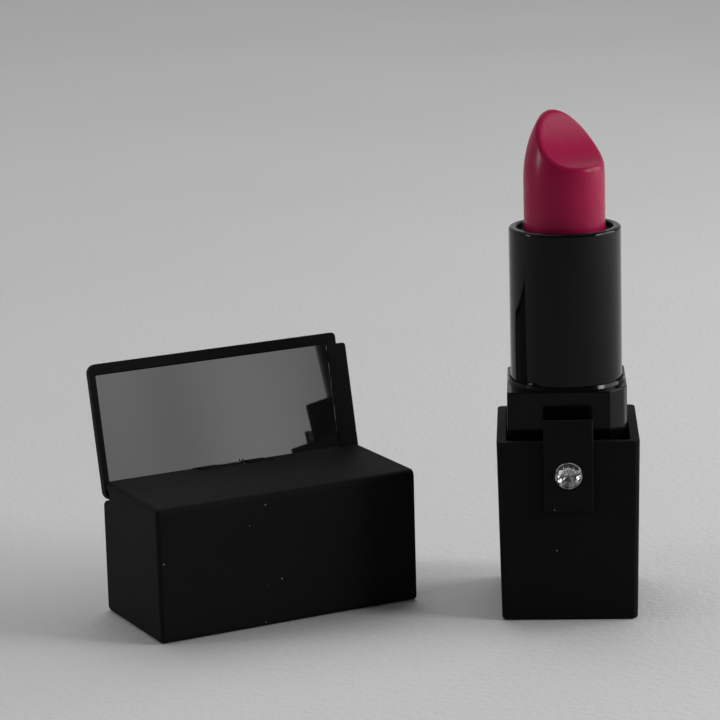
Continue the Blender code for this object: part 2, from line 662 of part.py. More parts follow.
def make_pin(surface, place):
    end = PIN_LENGTH / 2
    tip = PIN_RADIUS - PIN_CHAMFER
    profile = [(0, -end), (tip, -end), (PIN_RADIUS, -end + PIN_CHAMFER), (PIN_RADIUS, end - PIN_CHAMFER)]
    profile += [(tip, end), (0, end)]
    return turned("hinge_pin", profile, 20, surface, place, axis="X", centre=PIVOT)


def make_spring(surface, place):
    """Torsion spring: a coil round the pin with one leg under the door and one in the pocket."""
    curve = bpy.data.curves.new("hinge_spring", "CURVE")
    curve.dimensions = "3D"
    curve.bevel_depth = SPRING_WIRE
    curve.bevel_resolution = 1
    curve.use_fill_caps = True
    spread = SPRING_SPAN / 2 - SINK
    points = [Vector((-spread, SPRING_RADIUS, -SPRING_LOW_LEG))]
    steps = 14 * SPRING_TURNS
    for step in range(steps + 1):
        angle = 2 * math.pi * SPRING_TURNS * step / steps
        along = -spread + 2 * spread * step / steps
        points.append(Vector((along, SPRING_RADIUS * math.cos(angle), SPRING_RADIUS * math.sin(angle))))
    points.append(Vector((spread, SPRING_RADIUS, SPRING_HIGH_LEG)))
    spline = curve.splines.new("POLY")
    spline.points.add(len(points) - 1)
    for knot, point in zip(spline.points, points):
        knot.co = (*(PIVOT + point), 1)
    spring = bpy.data.objects.new("hinge_spring", curve)
    bpy.context.collection.objects.link(spring)
    curve.materials.append(surface)
    spring.parent = place
    return spring


def clear_scene():
    for thing in list(bpy.data.objects):
        bpy.data.objects.remove(thing, do_unlink=True)


def build():
    clear_scene()
    matte = material("matte_black", (0.014, 0.014, 0.015), 0.55)
    gloss = material("gloss_black", (0.008, 0.008, 0.009), 0.12)
    wax = material("raspberry_wax", (0.42, 0.03, 0.12), 0.38)
    steel = material("steel", (0.55, 0.55, 0.56), 0.3, 1.0)
    plastic = material("mechanism_plastic", (0.05, 0.05, 0.055), 0.4)
    silver = material("silver_setting", (0.8, 0.8, 0.8), 0.15, 1.0)
    stone = material("clear_stone", (0.95, 0.97, 1.0), 0.02, 0.0, 0.6)
    mirror = material("mirror", (0.9, 0.9, 0.9), 0.02, 1.0)
    tape = material("foam_tape", (0.6, 0.6, 0.58), 0.8)
    rubber = material("brake_rubber", (0.03, 0.03, 0.03), 0.7)

    make_casing(matte)
    make_weight(steel)
    make_mechanism_seat(plastic)
    make_collar(gloss)
    make_strip(matte)
    make_stone(stone, silver)

    axis = empty("tube_axis", (0, AXIS_Y, 0))
    shade_round(make_guide(plastic, axis))
    shade_round(make_ring("retaining_ring", TUBE_BOTTOM + SEAT_GAP, RING_HEIGHT, plastic, axis))
    brake_bottom = TUBE_BOTTOM + 2 * SEAT_GAP + RING_HEIGHT
    shade_round(make_ring("brake_ring", brake_bottom, RING_HEIGHT, rubber, axis))
    shade_round(make_tube(gloss, axis))
    shade_round(make_sleeve(plastic, axis))
    shade_round(make_cup(plastic, axis))
    shade_round(make_bullet(wax, axis))

    place = empty("cap_place", (*CAP_PLACE, 0))
    place.rotation_euler = (0, 0, CAP_TURN)
    pivot = empty("door_pivot", PIVOT, place)
    pivot.rotation_euler = (-DOOR_OPEN, 0, 0)
    shade_round(make_cap(matte, place))
    shade_round(make_door(matte, pivot))
    make_mirror(mirror, tape, pivot)
    shade_round(make_pin(steel, place))
    make_spring(steel, place)


build()
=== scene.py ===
import json
import math

import bmesh
import bpy
from mathutils import Matrix, Vector


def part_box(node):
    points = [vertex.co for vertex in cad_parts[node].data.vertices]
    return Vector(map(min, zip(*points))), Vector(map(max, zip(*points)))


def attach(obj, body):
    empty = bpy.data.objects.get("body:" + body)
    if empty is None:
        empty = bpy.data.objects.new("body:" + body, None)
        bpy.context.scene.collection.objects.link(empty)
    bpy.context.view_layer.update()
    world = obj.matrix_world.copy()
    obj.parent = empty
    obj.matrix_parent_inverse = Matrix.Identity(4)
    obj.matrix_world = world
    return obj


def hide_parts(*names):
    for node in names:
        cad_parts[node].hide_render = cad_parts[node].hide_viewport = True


mm = 0.001
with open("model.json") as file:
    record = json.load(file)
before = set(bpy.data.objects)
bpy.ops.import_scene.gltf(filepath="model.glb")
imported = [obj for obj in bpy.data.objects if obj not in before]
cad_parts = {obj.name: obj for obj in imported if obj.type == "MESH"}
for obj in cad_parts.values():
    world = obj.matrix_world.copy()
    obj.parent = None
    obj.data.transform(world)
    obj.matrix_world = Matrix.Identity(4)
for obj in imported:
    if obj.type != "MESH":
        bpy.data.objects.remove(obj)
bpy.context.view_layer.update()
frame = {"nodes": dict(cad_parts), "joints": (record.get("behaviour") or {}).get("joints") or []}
print("frame loaded:", len(frame["nodes"]), "nodes")

# the cap's own directions: along it to the mouth, across it to the hinge, and up
hinge = next(joint for joint in frame["joints"] if joint["name"] == "mirror_hinge")
pivotPlace = Vector(hinge["pos_m"])
capAlong = Vector(hinge["axis"]).normalized()
capAcross = Vector((0, 0, 1)).cross(capAlong)
tubeAxis = Vector(next(joint for joint in frame["joints"] if joint["name"] == "tube_twist")["pos_m"])
fits = {"gap": 0.13 * mm, "seat": 0.3 * mm, "over": 1.0 * mm, "run": 20.0 * mm, "touch": 0.01 * mm}
edgeSteps = 6  # faces round a rolled edge


# mesh helpers
def fromBmesh(name, shape, matrix=None):
    bmesh.ops.recalc_face_normals(shape, faces=shape.faces)
    mesh = bpy.data.meshes.new(name)
    shape.to_mesh(mesh)
    shape.free()
    if matrix:
        mesh.transform(matrix)
    thing = bpy.data.objects.new(name, mesh)
    bpy.context.scene.collection.objects.link(thing)
    return thing


def arcPoints(centre, radius, start, end, steps):
    points = []
    for step in range(steps + 1):
        angle = math.radians(start + (end - start) * step / steps)
        points.append((centre[0] + radius * math.cos(angle), centre[1] + radius * math.sin(angle)))
    return points


def roundedOutline(low, high, radii, steps=10):
    corners = [(low[0], low[1], 1, 1), (high[0], low[1], -1, 1)]
    corners += [(high[0], high[1], -1, -1), (low[0], high[1], 1, -1)]
    outline = []
    for index, (x, y, right, up) in enumerate(corners):
        radius = max(radii[index], fits["touch"])
        start = 180 + 90 * index
        outline += arcPoints((x + right * radius, y + up * radius), radius, start, start + 90, steps)
    return outline


def lofted(name, rings, matrix=None):
    shape = bmesh.new()
    rows = [[shape.verts.new(point) for point in ring] for ring in rings]
    shape.faces.new(reversed(rows[0]))
    shape.faces.new(rows[-1])
    for one, two in zip(rows, rows[1:]):
        for index in range(len(one)):
            after = (index + 1) % len(one)
            shape.faces.new((one[index], one[after], two[after], two[index]))
    return fromBmesh(name, shape, matrix)


# a slab with rounded corners whose two faces may have rounded edges
def roundedSlab(name, low, high, radii, start, end, startEdge=0, endEdge=0, matrix=None, steps=10):
    levels = []
    for step in range(edgeSteps + 1 if startEdge else 1):
        turn = math.pi / 2 * step / edgeSteps
        levels.append((start + startEdge * (1 - math.cos(turn)), startEdge * (1 - math.sin(turn))))
    for step in range(edgeSteps + 1 if endEdge else 1):
        turn = math.pi / 2 * step / edgeSteps
        levels.append((end - endEdge * (1 - math.sin(turn)), endEdge * (1 - math.cos(turn))))
    rings = []
    for height, inset in levels:
        smaller = [radius - inset for radius in radii]
        shrunkLow = (low[0] + inset, low[1] + inset)
        shrunkHigh = (high[0] - inset, high[1] - inset)
        rings.append([(x, y, height) for x, y in roundedOutline(shrunkLow, shrunkHigh, smaller, steps)])
    return lofted(name, rings, matrix)


def extruded(name, outline, start, end, matrix=None):
    return lofted(name, [[(x, y, start) for x, y in outline], [(x, y, end) for x, y in outline]], matrix)


# local x, y, z of an outline drawn across the cap become across, up, along
def alongCap(place):
    turn = Matrix((capAcross, (0, 0, 1), capAlong)).transposed()
    return Matrix.Translation(place) @ turn.to_4x4()


def bevelled(thing, width, wanted, segments=6):
    shape = bmesh.new()
    shape.from_mesh(thing.data)
    edges = [edge for edge in shape.edges if all(wanted(vertex.co) for vertex in edge.verts)]
    bmesh.ops.bevel(shape, geom=edges, offset=width, segments=segments, profile=0.5, affect="EDGES")
    shape.to_mesh(thing.data)
    shape.free()
    return thing


def applied(thing):
    depsgraph = bpy.context.evaluated_depsgraph_get()
    mesh = bpy.data.meshes.new_from_object(thing.evaluated_get(depsgraph))
    thing.modifiers.clear()
    thing.data = mesh
    return thing


def combined(thing, others, operation):
    for other in others:
        step = thing.modifiers.new("Shape", "BOOLEAN")
        step.operation = operation
        step.solver = "EXACT"
        step.object = other
    applied(thing)
    for other in others:
        bpy.data.objects.remove(other, do_unlink=True)
    return thing


def cutBy(thing, *others):
    return combined(thing, others, "DIFFERENCE")


def joinedTo(thing, *others):
    return combined(thing, others, "UNION")


# small rounding on what is still sharp, then normals that keep the flats flat
def softened(thing, width=0, angle=38, segments=3):
    if width:
        step = thing.modifiers.new("Edges", "BEVEL")
        step.width = width
        step.segments = segments
        step.limit_method = "ANGLE"
        step.angle_limit = math.radians(angle)
        applied(thing)
    thing.data.shade_smooth()
    thing.data.set_sharp_from_angle(angle=math.radians(angle))
    step = thing.modifiers.new("Normals", "WEIGHTED_NORMAL")
    step.keep_sharp = True
    return applied(thing)


def fitted(thing, body, surface, slot, *nodes):
    thing.data.materials.clear()
    thing.data.materials.append(surface)
    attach(thing, body)
    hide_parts(*nodes)
    return thing


# node helpers
def addNode(tree, kind, inputs=None, **settings):
    node = tree.nodes.new(kind)
    for key, value in settings.items():
        setattr(node, key, value)
    for key, value in (inputs or {}).items():
        if isinstance(value, bpy.types.NodeSocket):
            tree.links.new(value, node.inputs[key])
        else:
            node.inputs[key].default_value = value
    return node


def newGroup(name, kind, inputs, outputs):
    tree = bpy.data.node_groups.new(name, kind)
    for label, socketKind, value in inputs:
        socket = tree.interface.new_socket(label, in_out="INPUT", socket_type=socketKind)
        if value is not None:
            socket.default_value = value
    for label, socketKind in outputs:
        tree.interface.new_socket(label, in_out="OUTPUT", socket_type=socketKind)
    return tree, tree.nodes.new("NodeGroupInput"), tree.nodes.new("NodeGroupOutput")


def maths(tree, operation, first, second=0.0):
    return addNode(tree, "ShaderNodeMath", {0: first, 1: second}, operation=operation).outputs[0]


# Geometry Nodes: a profile turned about Z, and a coil with two straight legs
def finishedTree(tree, result, shape, surface):
    real = addNode(tree, "GeometryNodeRealizeInstances", {"Geometry": shape})
    painted = addNode(tree, "GeometryNodeSetMaterial", {0: real.outputs[0], "Material": surface})
    tree.links.new(painted.outputs[0], result.inputs[0])
    return tree


def movedTo(tree, shape, where):
    return addNode(tree, "GeometryNodeSetPosition", {"Geometry": shape, "Position": where}).outputs[0]


def turnedTree():
    inputs = [("Geometry", "NodeSocketGeometry", None), ("Steps", "NodeSocketInt", 128)]
    inputs += [("Surface", "NodeSocketMaterial", None)]
    outputs = [("Geometry", "NodeSocketGeometry")]
    tree, given, result = newGroup("turnedBody", "GeometryNodeTree", inputs, outputs)
    size = addNode(tree, "GeometryNodeAttributeDomainSize", {0: given.outputs["Geometry"]})
    steps, count = given.outputs["Steps"], size.outputs["Point Count"]
    gridInputs = {"Size X": steps, "Size Y": count}
    gridInputs["Vertices X"] = maths(tree, "ADD", steps, 1)
    gridInputs["Vertices Y"] = maths(tree, "ADD", count, 1)
    grid = addNode(tree, "GeometryNodeMeshGrid", gridInputs)
    here = addNode(tree, "GeometryNodeInputPosition").outputs[0]
    place = addNode(tree, "ShaderNodeSeparateXYZ", {0: here})
    column = maths(tree, "ADD", place.outputs["X"], maths(tree, "MULTIPLY", steps, 0.5))
    row = maths(tree, "ADD", place.outputs["Y"], maths(tree, "MULTIPLY", count, 0.5))
    row = maths(tree, "MODULO", maths(tree, "ROUND", row), count)
    profile = addNode(tree, "GeometryNodeSampleIndex", data_type="FLOAT_VECTOR")
    tree.links.new(given.outputs["Geometry"], profile.inputs["Geometry"])
    tree.links.new(here, profile.inputs["Value"])
    tree.links.new(row, profile.inputs["Index"])
    radius = addNode(tree, "ShaderNodeSeparateXYZ", {0: profile.outputs[0]})
    share = maths(tree, "DIVIDE", maths(tree, "ROUND", column), steps)
    turn = maths(tree, "MULTIPLY", share, math.tau)
    across = maths(tree, "MULTIPLY", radius.outputs["X"], maths(tree, "COSINE", turn))
    back = maths(tree, "MULTIPLY", radius.outputs["X"], maths(tree, "SINE", turn))
    where = addNode(tree, "ShaderNodeCombineXYZ", {"X": across, "Y": back, "Z": radius.outputs["Z"]})
    moved = movedTo(tree, grid.outputs["Mesh"], where.outputs[0])
    closed = addNode(tree, "GeometryNodeMergeByDistance", {"Geometry": moved, "Distance": 1e-7})
    return finishedTree(tree, result, closed.outputs[0], given.outputs["Surface"])


def coilTree():
    inputs = [("Geometry", "NodeSocketGeometry", None), ("Turns", "NodeSocketFloat", 6.0)]
    inputs += [("Radius", "NodeSocketFloat", 0.001), ("Length", "NodeSocketFloat", 0.004)]
    inputs += [("Wire", "NodeSocketFloat", 0.0001), ("Steps", "NodeSocketInt", 200)]
    inputs += [("Leg", "NodeSocketFloat", 0.001), ("Surface", "NodeSocketMaterial", None)]
    outputs = [("Geometry", "NodeSocketGeometry")]
    tree, given, result = newGroup("wireCoil", "GeometryNodeTree", inputs, outputs)
    radius, length, steps = given.outputs["Radius"], given.outputs["Length"], given.outputs["Steps"]
    line = addNode(tree, "GeometryNodeCurvePrimitiveLine", {"Start": (0, 0, 0), "End": (1, 0, 0)})
    fine = addNode(tree, "GeometryNodeResampleCurve", {"Curve": line.outputs[0], "Count": steps})
    here = addNode(tree, "GeometryNodeInputPosition").outputs[0]
    share = addNode(tree, "ShaderNodeSeparateXYZ", {0: here})
    turns = maths(tree, "MULTIPLY", share.outputs["X"], given.outputs["Turns"])
    turn = maths(tree, "MULTIPLY", turns, math.tau)
    half = maths(tree, "MULTIPLY", length, 0.5)
    low = maths(tree, "MULTIPLY", length, -0.5)
    along = maths(tree, "ADD", low, maths(tree, "MULTIPLY", share.outputs["X"], length))
    side = maths(tree, "MULTIPLY", radius, maths(tree, "COSINE", turn))
    up = maths(tree, "MULTIPLY", radius, maths(tree, "SINE", turn))
    where = addNode(tree, "ShaderNodeCombineXYZ", {"X": along, "Y": side, "Z": up})
    coil = movedTo(tree, fine.outputs[0], where.outputs[0])
    drop = maths(tree, "MULTIPLY", given.outputs["Leg"], -1.0)
    together = addNode(tree, "GeometryNodeJoinGeometry")
    tree.links.new(coil, together.inputs[0])
    for end, reach in ((low, drop), (half, given.outputs["Leg"])):
        foot = addNode(tree, "ShaderNodeCombineXYZ", {"X": end, "Y": radius, "Z": reach})
        root = addNode(tree, "ShaderNodeCombineXYZ", {"X": end, "Y": radius, "Z": 0.0})
        ends = {"Start": foot.outputs[0], "End": root.outputs[0]}
        leg = addNode(tree, "GeometryNodeCurvePrimitiveLine", ends)
        tree.links.new(leg.outputs[0], together.inputs[0])
    circle = {"Resolution": 12, "Radius": given.outputs["Wire"]}
    ring = addNode(tree, "GeometryNodeCurvePrimitiveCircle", circle)
    sweep = {"Curve": together.outputs[0], "Profile Curve": ring.outputs[0], "Fill Caps": True}
    wire = addNode(tree, "GeometryNodeCurveToMesh", sweep)
    return finishedTree(tree, result, wire.outputs[0], given.outputs["Surface"])


turnedBody = turnedTree()
wireCoil = coilTree()


def throughNodes(name, mesh, tree, values, matrix=None):
    thing = bpy.data.objects.new(name, mesh)
    bpy.context.scene.collection.objects.link(thing)
    step = thing.modifiers.new("Nodes", "NODES")
    step.node_group = tree
    for socket in tree.interface.items_tree:
        if socket.in_out == "INPUT" and socket.name in values:
            step[socket.identifier] = values[socket.name]
    applied(thing)
    shape = bmesh.new()
    shape.from_mesh(thing.data)
    bmesh.ops.dissolve_degenerate(shape, dist=1e-8, edges=shape.edges)
    loose = [edge for edge in shape.edges if not edge.link_faces]
    bmesh.ops.delete(shape, geom=loose, context="EDGES")
    bmesh.ops.recalc_face_normals(shape, faces=shape.faces)
    shape.to_mesh(thing.data)
    shape.free()
    if matrix:
        thing.data.transform(matrix)
    return thing


def turned(name, profile, surface, matrix=None, steps=128):
    mesh = bpy.data.meshes.new(name)
    mesh.from_pydata([(radius, 0, height) for radius, height in profile], [], [])
    return throughNodes(name, mesh, turnedBody, {"Steps": steps, "Surface": surface}, matrix)


def drilled(name, radius, start, end, surface, matrix, steps):
    return turned(name, [(0, start), (radius, start), (radius, end), (0, end)], surface, matrix, steps)


# shader groups that several finishes share
def grainGroup():
    inputs = [("Scale", "NodeSocketFloat", 4000.0), ("Patch Scale", "NodeSocketFloat", 150.0)]
    inputs += [("Roughness", "NodeSocketFloat", 0.5), ("Spread", "NodeSocketFloat", 0.08)]
    outputs = [(label, "NodeSocketFloat") for label in ("Height", "Roughness", "Patch")]
    tree, given, result = newGroup("mouldedGrain", "ShaderNodeTree", inputs, outputs)
    place = tree.nodes.new("ShaderNodeTexCoord").outputs["Object"]
    scale, patchScale = given.outputs["Scale"], given.outputs["Patch Scale"]
    fine = addNode(tree, "ShaderNodeTexNoise", {"Vector": place, "Scale": scale, "Detail": 3.0})
    wide = addNode(tree, "ShaderNodeTexNoise", {"Vector": place, "Scale": patchScale, "Detail": 4.0})
    centred = maths(tree, "SUBTRACT", wide.outputs["Fac"], 0.5)
    change = maths(tree, "MULTIPLY", centred, maths(tree, "MULTIPLY", given.outputs["Spread"], 2.0))
    tree.links.new(fine.outputs["Fac"], result.inputs["Height"])
    tree.links.new(maths(tree, "ADD", given.outputs["Roughness"], change), result.inputs["Roughness"])
    tree.links.new(wide.outputs["Fac"], result.inputs["Patch"])
    return tree


def dustGroup():
    inputs = [("Colour", "NodeSocketColor", (0, 0, 0, 1))]
    inputs += [("Dust Colour", "NodeSocketColor", (0.3, 0.3, 0.3, 1)), ("Scale", "NodeSocketFloat", 300.0)]
    inputs += [("Size", "NodeSocketFloat", 0.05), ("Amount", "NodeSocketFloat", 0.1)]
    outputs = [("Colour", "NodeSocketColor"), ("Mask", "NodeSocketFloat")]
    tree, given, result = newGroup("dustFlecks", "ShaderNodeTree", inputs, outputs)
    place = tree.nodes.new("ShaderNodeTexCoord").outputs["Object"]
    cells = addNode(tree, "ShaderNodeTexVoronoi", {"Vector": place, "Scale": given.outputs["Scale"]})
    near = maths(tree, "LESS_THAN", cells.outputs["Distance"], given.outputs["Size"])
    chance = addNode(tree, "ShaderNodeSeparateColor", {0: cells.outputs["Color"]})
    chosen = maths(tree, "LESS_THAN", chance.outputs[0], given.outputs["Amount"])
    mask = maths(tree, "MULTIPLY", near, chosen)
    mixed = addNode(tree, "ShaderNodeMix", {"Factor": mask}, data_type="RGBA")
    tree.links.new(given.outputs["Colour"], mixed.inputs[6])
    tree.links.new(given.outputs["Dust Colour"], mixed.inputs[7])
    tree.links.new(mixed.outputs[2], result.inputs["Colour"])
    tree.links.new(mask, result.inputs["Mask"])
    return tree


mouldedGrain = grainGroup()
dustFlecks = dustGroup()


def newMaterial(name, **constants):
    made = bpy.data.materials.new(name)
    made.use_nodes = True
    tree = made.node_tree
    shader = tree.nodes["Principled BSDF"]
    for label, value in constants.items():
        shader.inputs[label.replace("_", " ")].default_value = value
    return made, tree, shader


# colour that drifts between two tones, roughness that drifts with it, and a fine raised grain
def surfaced(tree, shader, tones, grain, dust=None):
    group = addNode(tree, "ShaderNodeGroup", node_tree=mouldedGrain)
    for label, value in grain.items():
        if label != "Depth":
            group.inputs[label].default_value = value
    mixed = addNode(tree, "ShaderNodeMix", {"Factor": group.outputs["Patch"]}, data_type="RGBA")
    mixed.inputs[6].default_value = (*tones[0], 1)
    mixed.inputs[7].default_value = (*tones[1], 1)
    colour = mixed.outputs[2]
    if dust:
        flecks = addNode(tree, "ShaderNodeGroup", node_tree=dustFlecks)
        tree.links.new(colour, flecks.inputs["Colour"])
        for label, value in dust.items():
            flecks.inputs[label].default_value = value
        colour = flecks.outputs["Colour"]
    bump = addNode(tree, "ShaderNodeBump", {"Height": group.outputs["Height"], "Distance": grain["Depth"]})
    tree.links.new(colour, shader.inputs["Base Color"])
    tree.links.new(group.outputs["Roughness"], shader.inputs["Roughness"])
    tree.links.new(bump.outputs[0], shader.inputs["Normal"])


def simpleFinish(name, tones, grain, dust=None, **constants):
    made, tree, shader = newMaterial(name, **constants)
    surfaced(tree, shader, tones, grain, dust)
    return made


def softTouchBlack():
    grain = {"Scale": 5200.0, "Patch Scale": 90.0, "Roughness": 0.62, "Spread": 0.07, "Depth": 0.00002}
    dust = {"Scale": 420.0, "Size": 0.04, "Amount": 0.26, "Dust Colour": (0.3, 0.3, 0.29, 1)}
    tones = ((0.0045, 0.0045, 0.0046), (0.0072, 0.0072, 0.0073))
    return simpleFinish("softTouchBlack", tones, grain, dust, Specular_IOR_Level=0.055)


def polishedBlack(name, level, roughness):
    grain = {"Scale": 700.0, "Patch Scale": 220.0, "Spread": 0.05, "Depth": 0.000002}
    grain["Roughness"] = roughness
    tones = ((0.0012, 0.0012, 0.0013), (0.002, 0.002, 0.0021))
    return simpleFinish(name, tones, grain, None, Specular_IOR_Level=level)


def mouldedPlastic():
    grain = {"Scale": 3000.0, "Patch Scale": 120.0, "Roughness": 0.38, "Spread": 0.1, "Depth": 0.00001}
    return simpleFinish("mouldedPlastic", ((0.03, 0.03, 0.033), (0.055, 0.055, 0.06)), grain)


def brakeRubber():
    grain = {"Scale": 6000.0, "Patch Scale": 300.0, "Roughness": 0.75, "Spread": 0.1, "Depth": 0.00002}
    return simpleFinish("brakeRubber", ((0.02, 0.02, 0.02), (0.04, 0.04, 0.04)), grain)


def platedSteel():
    grain = {"Scale": 900.0, "Patch Scale": 260.0, "Roughness": 0.32, "Spread": 0.14, "Depth": 0.000006}
    return simpleFinish("platedSteel", ((0.42, 0.43, 0.44), (0.6, 0.6, 0.58)), grain, Metallic=1.0)


def drawnSteel():
    grain = {"Scale": 5000.0, "Patch Scale": 800.0, "Roughness": 0.4, "Spread": 0.1, "Depth": 0.000003}
    return simpleFinish("drawnSteel", ((0.025, 0.025, 0.026), (0.045, 0.045, 0.045)), grain, Metallic=1.0)


# foil pressed into wedges round the stone's middle, with painted shade: each wedge darkened by a random
# amount and the middle ring darker still, standing in for the light and reflections the facets catch
def silverFoilPaintedShade(middle):
    grain = {"Scale": 2500.0, "Patch Scale": 900.0, "Roughness": 0.2, "Spread": 0.08, "Depth": 0.000002}
    tones = ((0.8, 0.8, 0.78), (1.0, 0.99, 0.96))
    made = simpleFinish("silverFoilPaintedShade", tones, grain, Metallic=0.7)
    tree = made.node_tree
    shader = tree.nodes["Principled BSDF"]
    place = tree.nodes.new("ShaderNodeTexCoord").outputs["Object"]
    parts = addNode(tree, "ShaderNodeSeparateXYZ", {0: place})
    side = maths(tree, "SUBTRACT", parts.outputs["X"], middle.x)
    up = maths(tree, "SUBTRACT", parts.outputs["Z"], middle.z)
    turn = maths(tree, "ARCTAN2", up, side)
    offset = addNode(tree, "ShaderNodeCombineXYZ", {"X": side, "Y": up}).outputs[0]
    reach = addNode(tree, "ShaderNodeVectorMath", {0: offset}, operation="LENGTH").outputs["Value"]
    wedge = maths(tree, "FLOOR", maths(tree, "MULTIPLY", turn, stoneForm["wedges"] / math.tau))
    ring = maths(tree, "FLOOR", maths(tree, "DIVIDE", reach, stoneForm["table"]))
    cell = addNode(tree, "ShaderNodeCombineXYZ", {"X": wedge, "Y": ring}).outputs[0]
    chance = addNode(tree, "ShaderNodeTexWhiteNoise", {"Vector": cell}, noise_dimensions="3D")
    # painted shade: a random darkness for each wedge and ring, standing in for the light each facet catches
    contrast = {"Value": chance.outputs["Value"], "From Min": 0.3, "From Max": 0.5, "To Min": 0.1}
    paintedFacetLight = addNode(tree, "ShaderNodeMapRange", contrast).outputs["Result"]
    # painted shade: the middle ring is kept at most half as bright
    outer = addNode(tree, "ShaderNodeMapRange", {"Value": ring, "To Min": 0.5}).outputs["Result"]
    share = maths(tree, "MULTIPLY", paintedFacetLight, outer)
    # painted shade: mixes the foil colour towards near-black by the wedge and ring amount
    paintedFacetShade = addNode(tree, "ShaderNodeMix", {"Factor": share}, data_type="RGBA")
    paintedFacetShade.inputs[6].default_value = (0.03, 0.03, 0.03, 1)
    tree.links.new(shader.inputs["Base Color"].links[0].from_socket, paintedFacetShade.inputs[7])
    tree.links.new(paintedFacetShade.outputs[2], shader.inputs["Base Color"])
    return made


def silveredGlass():
    grain = {"Scale": 400.0, "Patch Scale": 60.0, "Roughness": 0.03, "Spread": 0.02, "Depth": 0.0000002}
    dust = {"Scale": 260.0, "Size": 0.02, "Amount": 0.05, "Dust Colour": (0.9, 0.9, 0.9, 1)}
    tones = ((0.8, 0.81, 0.82), (0.84, 0.845, 0.85))
    return simpleFinish("silveredGlass", tones, grain, dust, Metallic=1.0)


def foamTape():
    grain = {"Scale": 7000.0, "Patch Scale": 400.0, "Roughness": 0.85, "Spread": 0.08, "Depth": 0.00003}
    return simpleFinish("foamTape", ((0.5, 0.5, 0.48), (0.66, 0.66, 0.63)), grain)


def cutStone():
    made, tree, shader = newMaterial("cutStone", Transmission_Weight=1.0, IOR=1.5, Metallic=0.0)
    group = addNode(tree, "ShaderNodeGroup", {"Scale": 900.0, "Patch Scale": 500.0}, node_tree=mouldedGrain)
    group.inputs["Roughness"].default_value = 0.02
    group.inputs["Spread"].default_value = 0.015
    tint = addNode(tree, "ShaderNodeMix", {"Factor": group.outputs["Patch"]}, data_type="RGBA")
    tint.inputs[6].default_value = (0.97, 0.98, 1.0, 1)
    tint.inputs[7].default_value = (1.0, 0.99, 0.96, 1)
    tree.links.new(tint.outputs[2], shader.inputs["Base Color"])
    tree.links.new(group.outputs["Roughness"], shader.inputs["Roughness"])
    return made


# wax: satin, with faint upright drag lines from the mould and a deeper tone in patches
def raspberryWax():
    made, tree, shader = newMaterial("raspberryWax", Subsurface_Weight=0.12, Subsurface_Scale=0.0015)
    shader.inputs["Subsurface Radius"].default_value = (1.0, 0.25, 0.3)
    shader.inputs["Specular IOR Level"].default_value = 0.12
    grain = {"Scale": 2600.0, "Patch Scale": 200.0, "Roughness": 0.27, "Spread": 0.05}
    group = addNode(tree, "ShaderNodeGroup", grain, node_tree=mouldedGrain)
    tone = addNode(tree, "ShaderNodeMix", {"Factor": group.outputs["Patch"]}, data_type="RGBA")
    tone.inputs[6].default_value = (0.27, 0.006, 0.044, 1)
    tone.inputs[7].default_value = (0.32, 0.008, 0.055, 1)
    place = tree.nodes.new("ShaderNodeTexCoord").outputs["Object"]
    stretched = addNode(tree, "ShaderNodeMapping", {"Vector": place, "Scale": (1.0, 1.0, 0.05)}).outputs[0]
    lines = addNode(tree, "ShaderNodeTexNoise", {"Vector": stretched, "Scale": 1500.0, "Detail": 2.0})
    blend = maths(tree, "ADD", maths(tree, "MULTIPLY", lines.outputs["Fac"], 0.6), group.outputs["Height"])
    bump = addNode(tree, "ShaderNodeBump", {"Height": blend, "Distance": 0.000006})
    tree.links.new(tone.outputs[2], shader.inputs["Base Color"])
    tree.links.new(group.outputs["Roughness"], shader.inputs["Roughness"])
    tree.links.new(bump.outputs[0], shader.inputs["Normal"])
    return made


softBlack = softTouchBlack()
glossBlack = polishedBlack("polishedBlack", 0.17, 0.085)
collarBlack = polishedBlack("collarBlack", 0.12, 0.13)
plastic = mouldedPlastic()
wax = raspberryWax()
wireSteel = drawnSteel()
print("finishes made")


# base
casingForm = {"wall": 1.2 * mm, "floor": 1.5 * mm, "corner": 0.9 * mm, "innerCorner": 0.3 * mm,
              "foot": 0.55 * mm, "rim": 0.15 * mm, "innerRim": 0.12 * mm, "draft": 0.22 * mm}
stripForm = {"gap": 0.15 * mm, "corner": 0.3 * mm, "edge": 0.25 * mm, "backEdge": 0.05 * mm}
stoneForm = {"radius": 1.9 * mm, "crown": 0.75 * mm, "pavilion": 0.87 * mm, "table": 1.05 * mm,
             "belt": 0.05 * mm, "kite": 1.56 * mm, "kiteRise": 0.43 * mm, "foilWall": 0.05 * mm,
             "rim": 0.03 * mm, "waist": 1.0 * mm, "waistDepth": 0.5 * mm, "bowl": 1.4,
             "wedges": 16, "sides": 8, "beltSides": 32, "bowlSteps": 12}

# a drawing on the front face: x to the right, y up, z out of the face
frontFace = Matrix(((1, 0, 0), (0, 0, -1), (0, 1, 0))).to_4x4()
stripLow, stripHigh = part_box("front_strip")
stoneLow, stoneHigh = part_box("rhinestone")
stonePlace = Vector(((stoneLow.x + stoneHigh.x) / 2, 0, (stoneLow.z + stoneHigh.z) / 2))


def onFront(depth):
    return Matrix.Translation(Vector((stonePlace.x, depth, stonePlace.z))) @ frontFace


